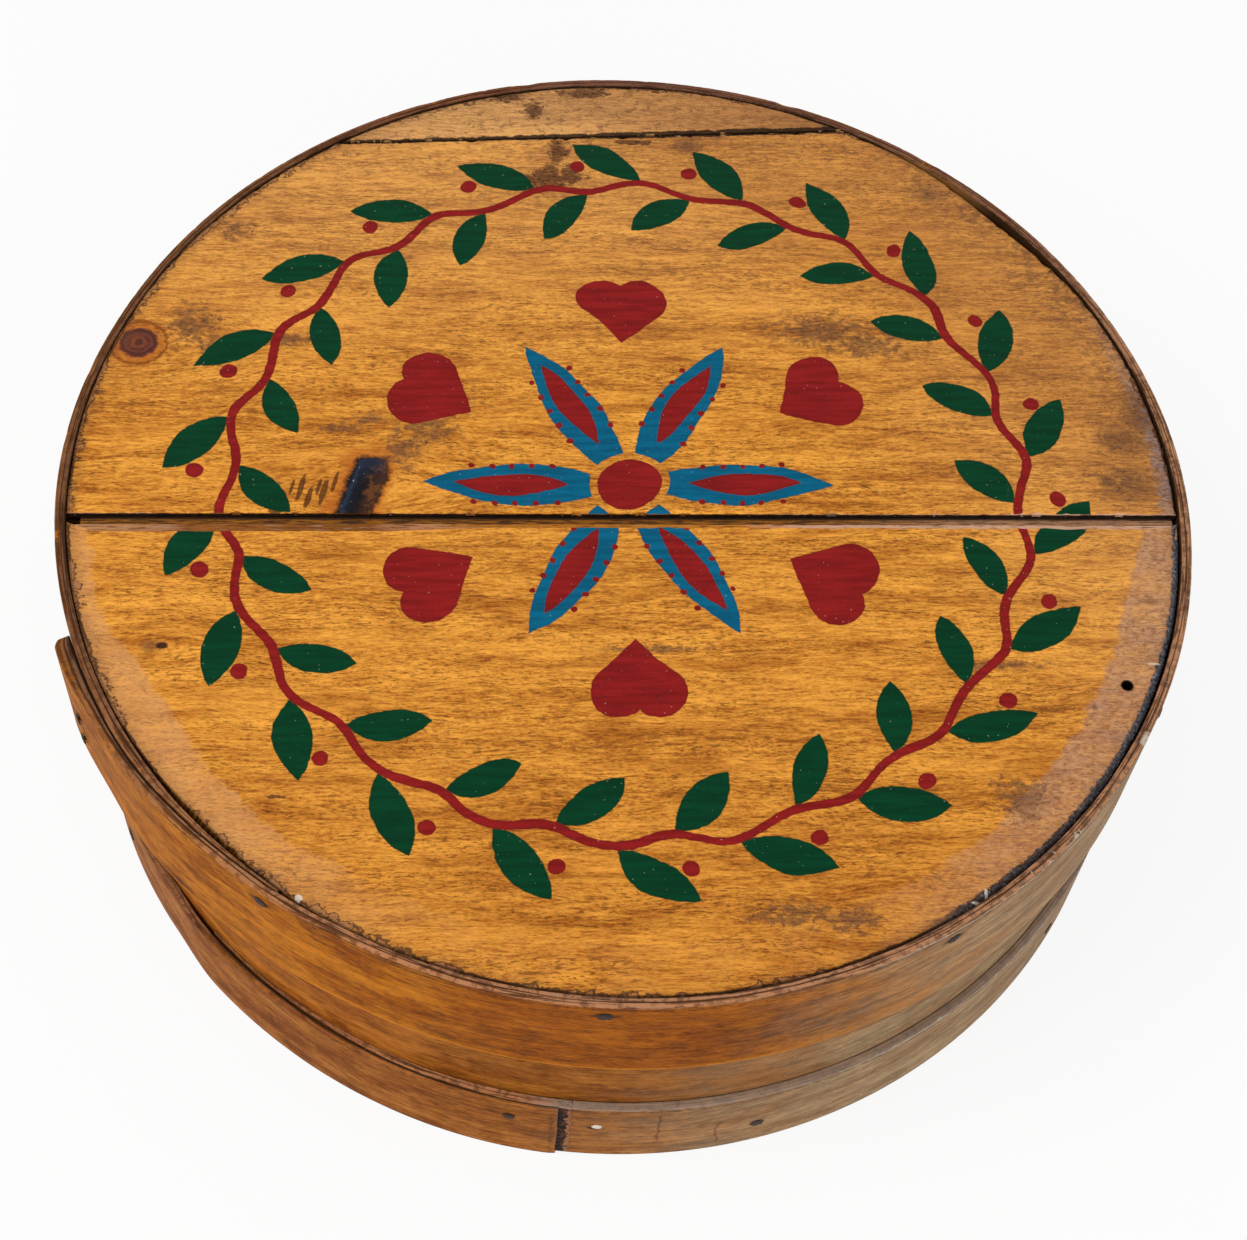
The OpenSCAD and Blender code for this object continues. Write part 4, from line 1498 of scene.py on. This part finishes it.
def board_panel(names, panel, gap, slope, chips, left_short, strip=None):
    """Three boards cut from one round panel, worn and jointed."""
    front_cut = (panel.front, 0.0, panel.front_gap)
    back_cut = (panel.back, panel.back_turn, panel.back_gap)
    boards = []
    sides = ((front_cut, False),), ((front_cut, True), (back_cut, False)), ((back_cut, True),)
    for number, (name, edges) in enumerate(zip(names, sides)):
        cuts = []
        for (seam, tilt, wide), keep_back in edges:
            cuts.append((seam + (wide / 2 if keep_back else -wide / 2), tilt, keep_back))
        board = saw_blank(name, panel, cuts)
        ring_edges(board)
        seed = number * 13.0 + 1.0
        wear_board(board, panel, cuts, gap, slope, chips, seed, None if number else strip)
        grid_face(board, panel)
        crown_face(board, panel, seed)
        boards.append(board)
    joint_boards(panel, boards[0], boards[1], *front_cut, left_short, SHOULDER if strip else 0.0)
    joint_boards(panel, boards[1], boards[2], *back_cut, BACK_SHORT)
    return boards


HOLE_RADIUS = 1.7 * MM
HOLE_DEPTH = 7.0 * MM


def drill(piece, x, y, radius, top, deep):
    """A hole left by a nail that is gone."""
    clear_selection()
    bpy.ops.mesh.primitive_cylinder_add(
        vertices=16, radius=radius, depth=deep * 2, location=(x, y, top)
    )
    bit = new_piece("bit")
    settle()
    edit(bit)
    pick(bit, faces=lambda face: face.normal.z > 0.9)
    bpy.ops.transform.resize(value=(1.35, 1.2, 1.0))
    done()
    combine(piece, bit, "DIFFERENCE")


# Nails and tacks: how far the packed heads stand out
NAIL_SEAT = 0.8 * MM
TACK_SEAT = 0.6 * MM


def nail_places(node):
    """Angle, height and seat of each nail of a packed node, in order round the box."""
    mesh = bmesh.new()
    mesh.from_mesh(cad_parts[node].data)
    bmesh.ops.remove_doubles(mesh, verts=mesh.verts, dist=TOUCH)
    left = dict.fromkeys(mesh.verts)
    places = []
    while left:
        island = []
        queue = [left.popitem()[0]]
        while queue:
            vertex = queue.pop()
            island.append(vertex.co.copy())
            for link in vertex.link_edges:
                other = link.other_vert(vertex)
                if other in left:
                    del left[other]
                    queue.append(other)
        centre = sum(island, Vector()) / len(island)
        angle = atan2(centre.y, centre.x)
        out = Vector((cos(angle), sin(angle), 0.0))
        heights = [point.z for point in island]
        seat = max(point.dot(out) for point in island)
        places.append((angle, (min(heights) + max(heights)) / 2, seat))
    mesh.free()
    return sorted(places, key=lambda place: (round(place[0], 4), place[1]))


def forged_nail(head, rise, long):
    """One nail with a hammered head on Z 0 and its shank below."""
    clear_selection()
    bpy.ops.mesh.primitive_cylinder_add(
        vertices=12, radius=head / 2, depth=rise * 0.5, location=(0.0, 0.0, rise * 0.25)
    )
    nail = new_piece("nail")
    settle()
    edit(nail)
    pick(nail, faces=lambda face: face.normal.z > 0.9)
    bpy.ops.mesh.inset(thickness=head * 0.14)
    bpy.ops.transform.translate(value=(0.0, 0.0, rise * 0.35))
    bpy.ops.mesh.inset(thickness=head * 0.18)
    bpy.ops.transform.translate(value=(0.0, 0.0, rise * 0.15))
    pick(nail, faces=lambda face: face.normal.z < -0.9)
    bpy.ops.mesh.inset(thickness=head * 0.3)
    bpy.ops.mesh.extrude_region_move(TRANSFORM_OT_translate={"value": (0.0, 0.0, -long)})
    bpy.ops.transform.resize(value=(0.35, 0.35, 1.0))
    done()
    return nail


def drive(name, node, head, rise, node_rise, long):
    """Copies one nail to each place of a packed node and joins the copies into a piece."""
    model = forged_nail(head, rise, long)
    copies = []
    for number, (angle, height, seat) in enumerate(nail_places(node)):
        choose(model)
        bpy.ops.object.duplicate()
        nail = bpy.context.active_object
        for vertex in nail.data.vertices:
            if vertex.co.z > -0.1 * MM:
                spot = (number * 7.1, vertex.index * 0.77)
                jolt = Vector((ripple(*spot, axis * 3.3) for axis in range(3)))
                vertex.co += jolt * head * 0.05
        out = Vector((cos(angle), sin(angle), 0.0))
        tilt = Matrix.Rotation(number * 2.4, 4, "Z")
        facing = out.to_track_quat("Z", "Y").to_matrix().to_4x4()
        seat_point = out * (seat - node_rise) + Vector((0.0, 0.0, height))
        nail.matrix_world = Matrix.Translation(seat_point) @ facing @ tilt
        settle()
        copies.append(nail)
    bpy.data.objects.remove(model, do_unlink=True)
    clear_selection()
    for nail in copies:
        nail.select_set(True)
    bpy.context.view_layer.objects.active = copies[0]
    bpy.ops.object.join()
    piece = new_piece(name)
    smooth(piece, 40)
    return piece


# Operators


class HATBOX_OT_lid_boards(bpy.types.Operator):
    """Make the three painted boards of the lid"""

    bl_idname = "hatbox.lid_boards"
    bl_label = "Lid Boards"

    def execute(self, context):
        settings = context.scene.hat_box
        lid = settings.lid
        names = ("lid_front_board", "lid_middle_board", "lid_back_board")
        nodes = ("lid_board_front", "lid_board_middle", "lid_board_back")
        boards = board_panel(names, lid, lid_gap, lid_slope, lid_chips, LID_SHORT, strip_width)
        x, y = OLD_HOLE
        drill(boards[0], x * MM, y * MM, HOLE_RADIUS, lid.high, HOLE_DEPTH)
        hand_over_boards(boards, nodes, "lid", "lid_boards", lid_finish(settings))
        return {"FINISHED"}


class HATBOX_OT_lid_rim(bpy.types.Operator):
    """Make the deep bent rim of the lid"""

    bl_idname = "hatbox.lid_rim"
    bl_label = "Lid Rim"

    def execute(self, context):
        piece, material = make_band(
            context.scene.hat_box,
            "rim",
            "lid_rim",
            (("lid_rim_nails", 7, 2.6), ("lid_lap_tacks", 3.5, 2.6)),
            pitch=1.5 * MM,
            seed=2.0,
            wave=0.15 * MM,
            grey_span=(84, 200),
            # Painted highlight along the rim's lower edge
            foot=("rim_light", 1.8),
            open_lap=0.22,
            grime=16.0,
            # Painted shade across the front of the rim
            shaded=0.85,
        )
        hand_over(piece, "lid", "rim_band", material, "lid_rim_band")
        return {"FINISHED"}


class HATBOX_OT_wall(bpy.types.Operator):
    """Make the bent wall of the box"""

    bl_idname = "hatbox.wall"
    bl_label = "Wall"

    def execute(self, context):
        piece, material = make_band(
            context.scene.hat_box,
            "wall",
            "box_wall",
            (("wall_lap_tacks", 3.5, 2.2),),
            pitch=3.0 * MM,
            seed=14.0,
            grey_span=(35, 180),
            foot=("wall_dark", 1.0),
            # Painted light on the wall's left
            sunlit=0.9,
        )
        hand_over(piece, "box", "wall_band", material, "wall_band")
        return {"FINISHED"}


class HATBOX_OT_hoop(bpy.types.Operator):
    """Make the lapped hoop round the foot of the box"""

    bl_idname = "hatbox.hoop"
    bl_label = "Hoop"

    def execute(self, context):
        settings = context.scene.hat_box
        once = settings.hoop.radius * tau / MM
        piece, material = make_band(
            settings,
            "hoop",
            "foot_hoop",
            (("bottom_nails", 4.5, 3.0), ("hoop_lap_tacks", 3.0, 2.4)),
            pitch=1.5 * MM,
            seed=27.0,
            grey_span=(5, 160),
            foot=("worn_dark", 1.1),
            open_lap=0.5,
            cracks=((once - 37, 14, 40, 9), (once - 60, 6, 27, 6)),
            broken_end=True,
        )
        hand_over(piece, "box", "hoop", material, "bottom_hoop")
        return {"FINISHED"}


class HATBOX_OT_bottom_boards(bpy.types.Operator):
    """Make the three boards of the bottom"""

    bl_idname = "hatbox.bottom_boards"
    bl_label = "Bottom Boards"

    def execute(self, context):
        settings = context.scene.hat_box
        names = ("bottom_front", "bottom_middle", "bottom_back")
        nodes = ("bottom_board_front", "bottom_board_middle", "bottom_board_back")
        bottom = settings.bottom
        boards = board_panel(names, bottom, bottom_gap, bottom_slope, bottom_chips, BOTTOM_SHORT)
        hand_over_boards(boards, nodes, "box", "bottom_boards", bare_finish(settings))
        return {"FINISHED"}


class HATBOX_OT_nails(bpy.types.Operator):
    """Drive the nails and tacks"""

    bl_idname = "hatbox.nails"
    bl_label = "Nails"

    def execute(self, context):
        settings = context.scene.hat_box
        sizes = settings.nails
        material = iron_finish(settings)
        nails = (sizes.nail_head, sizes.nail_rise, NAIL_SEAT, sizes.nail_length)
        tacks = (sizes.tack_head, sizes.tack_rise, TACK_SEAT, sizes.tack_length)
        rows = (
            ("rim_nails", "lid_rim_nails", "lid", nails),
            ("rim_tacks", "lid_lap_tacks", "lid", tacks),
            ("wall_tacks", "wall_lap_tacks", "box", tacks),
            ("hoop_tacks", "hoop_lap_tacks", "box", tacks),
            ("foot_nails", "bottom_nails", "box", nails),
        )
        for name, node, body, shape in rows:
            piece = drive(name, node, *shape)
            hand_over(piece, body, "iron", material, node)
        return {"FINISHED"}


# The stage: sizes in metres, the floor's fade in millimetres, powers in watts
FLOOR_SIZE = 8.0
FLOOR_DROP = 0.2 * MM
FLOOR_BOUNCE = 0.7
FLOOR_GLOW = 0.88
FLOOR_FADE = (400, 2200)
SKY_LIGHT = 0.62
WHITE = (1.0, 1.0, 1.0, 1.0)
LIGHTS = (
    ("key", (-1.3, -0.5, 1.9), 1.3, 22.0, (1.0, 0.98, 0.95)),
    ("fill", (0.5, -2.0, 0.9), 1.8, 14.0, (1.0, 1.0, 1.0)),
)
LENS = 68.05
EYE = (-0.05638, -0.52630, 0.86989)
EYE_TURNS = ((-6.42, "Z"), (90 - 57.24, "X"), (5.36, "Z"))


def floor_finish(settings):
    """White floor that keeps a soft shadow and shows white to the camera and in reflections."""
    f = Finish("floor_white", settings)
    seen = f.seen()
    x, y, _ = f.place()
    far = f.step(f.length(x, y), *FLOOR_FADE)
    dim = f.between("floor", FLOOR_BOUNCE, 1.0, seen)
    matte = f.node("ShaderNodeBsdfDiffuse", sockets={"Color": dim})
    glow = f.node("ShaderNodeEmission", sockets={"Color": f.colour("floor"), "Strength": 1.0})
    share = far * (1.0 - FLOOR_GLOW) + FLOOR_GLOW
    surface = f.node("ShaderNodeMixShader", sockets={0: seen * share, 1: matte, 2: glow})
    f.node("ShaderNodeOutputMaterial", sockets={"Surface": surface}, out=None)
    return f.material


def sky_finish(world, settings):
    """Soft light from all round, white to the camera and in reflections."""
    f = Finish(world.name, settings, world)
    light = f.node("ShaderNodeBackground", sockets={"Color": WHITE, "Strength": SKY_LIGHT})
    plain = f.node("ShaderNodeBackground", sockets={"Color": f.colour("floor"), "Strength": 1.0})
    surface = f.node("ShaderNodeMixShader", sockets={0: f.seen(), 1: light, 2: plain})
    f.node("ShaderNodeOutputWorld", sockets={"Surface": surface}, out=None)


class HATBOX_OT_stage(bpy.types.Operator):
    """Set the floor, the lights and the camera"""

    bl_idname = "hatbox.stage"
    bl_label = "Stage"

    def execute(self, context):
        scene = context.scene
        clear_selection()
        bpy.ops.mesh.primitive_plane_add(size=FLOOR_SIZE, location=(0.0, 0.0, 0.0))
        floor = new_piece("floor")
        floor.data.transform(Matrix.Translation((0.0, 0.0, -FLOOR_DROP)))
        floor.data.materials.append(floor_finish(scene.hat_box))

        scene.world = bpy.data.worlds.new("soft_white")
        sky_finish(scene.world, scene.hat_box)
        for name, place, size, power, colour in LIGHTS:
            lamp = bpy.data.lights.new(name, "AREA")
            lamp.size = size
            lamp.energy = power
            lamp.color = colour
            holder = bpy.data.objects.new(name, lamp)
            scene.collection.objects.link(holder)
            holder.location = place
            holder.rotation_euler = (-Vector(place)).to_track_quat("-Z", "Y").to_euler()

        camera = bpy.data.cameras.new("camera")
        camera.sensor_width = 36.0
        camera.lens = LENS
        camera.clip_end = 50.0
        eye = bpy.data.objects.new("camera", camera)
        scene.collection.objects.link(eye)
        pose = Matrix.Translation(EYE)
        for degrees, axis in EYE_TURNS:
            pose = pose @ Matrix.Rotation(radians(degrees), 4, axis)
        eye.matrix_world = pose
        scene.camera = eye
        scene.view_settings.view_transform = "Standard"
        return {"FINISHED"}


class HATBOX_PT_panel(bpy.types.Panel):
    """The steps of the hat box"""

    bl_idname = "HATBOX_PT_panel"
    bl_label = "Hat Box"
    bl_space_type = "VIEW_3D"
    bl_region_type = "UI"
    bl_category = "Hat Box"

    def draw(self, context):
        for step in STEPS:
            self.layout.operator(step.bl_idname)


STEPS = (
    HATBOX_OT_stage,
    HATBOX_OT_lid_boards,
    HATBOX_OT_lid_rim,
    HATBOX_OT_wall,
    HATBOX_OT_hoop,
    HATBOX_OT_bottom_boards,
    HATBOX_OT_nails,
)
CLASSES = (*GROUPS.values(), HatBoxSettings, *STEPS, HATBOX_PT_panel)


def register():
    for kind in CLASSES:
        bpy.utils.register_class(kind)
    bpy.types.Scene.hat_box = PointerProperty(type=HatBoxSettings)


def unregister():
    del bpy.types.Scene.hat_box
    for kind in reversed(CLASSES):
        bpy.utils.unregister_class(kind)


def main():
    register()
    bpy.ops.hatbox.stage()
    bpy.ops.hatbox.lid_boards()
    bpy.ops.hatbox.lid_rim()
    bpy.ops.hatbox.wall()
    bpy.ops.hatbox.hoop()
    bpy.ops.hatbox.bottom_boards()
    bpy.ops.hatbox.nails()


if __name__ == "__main__":
    main()
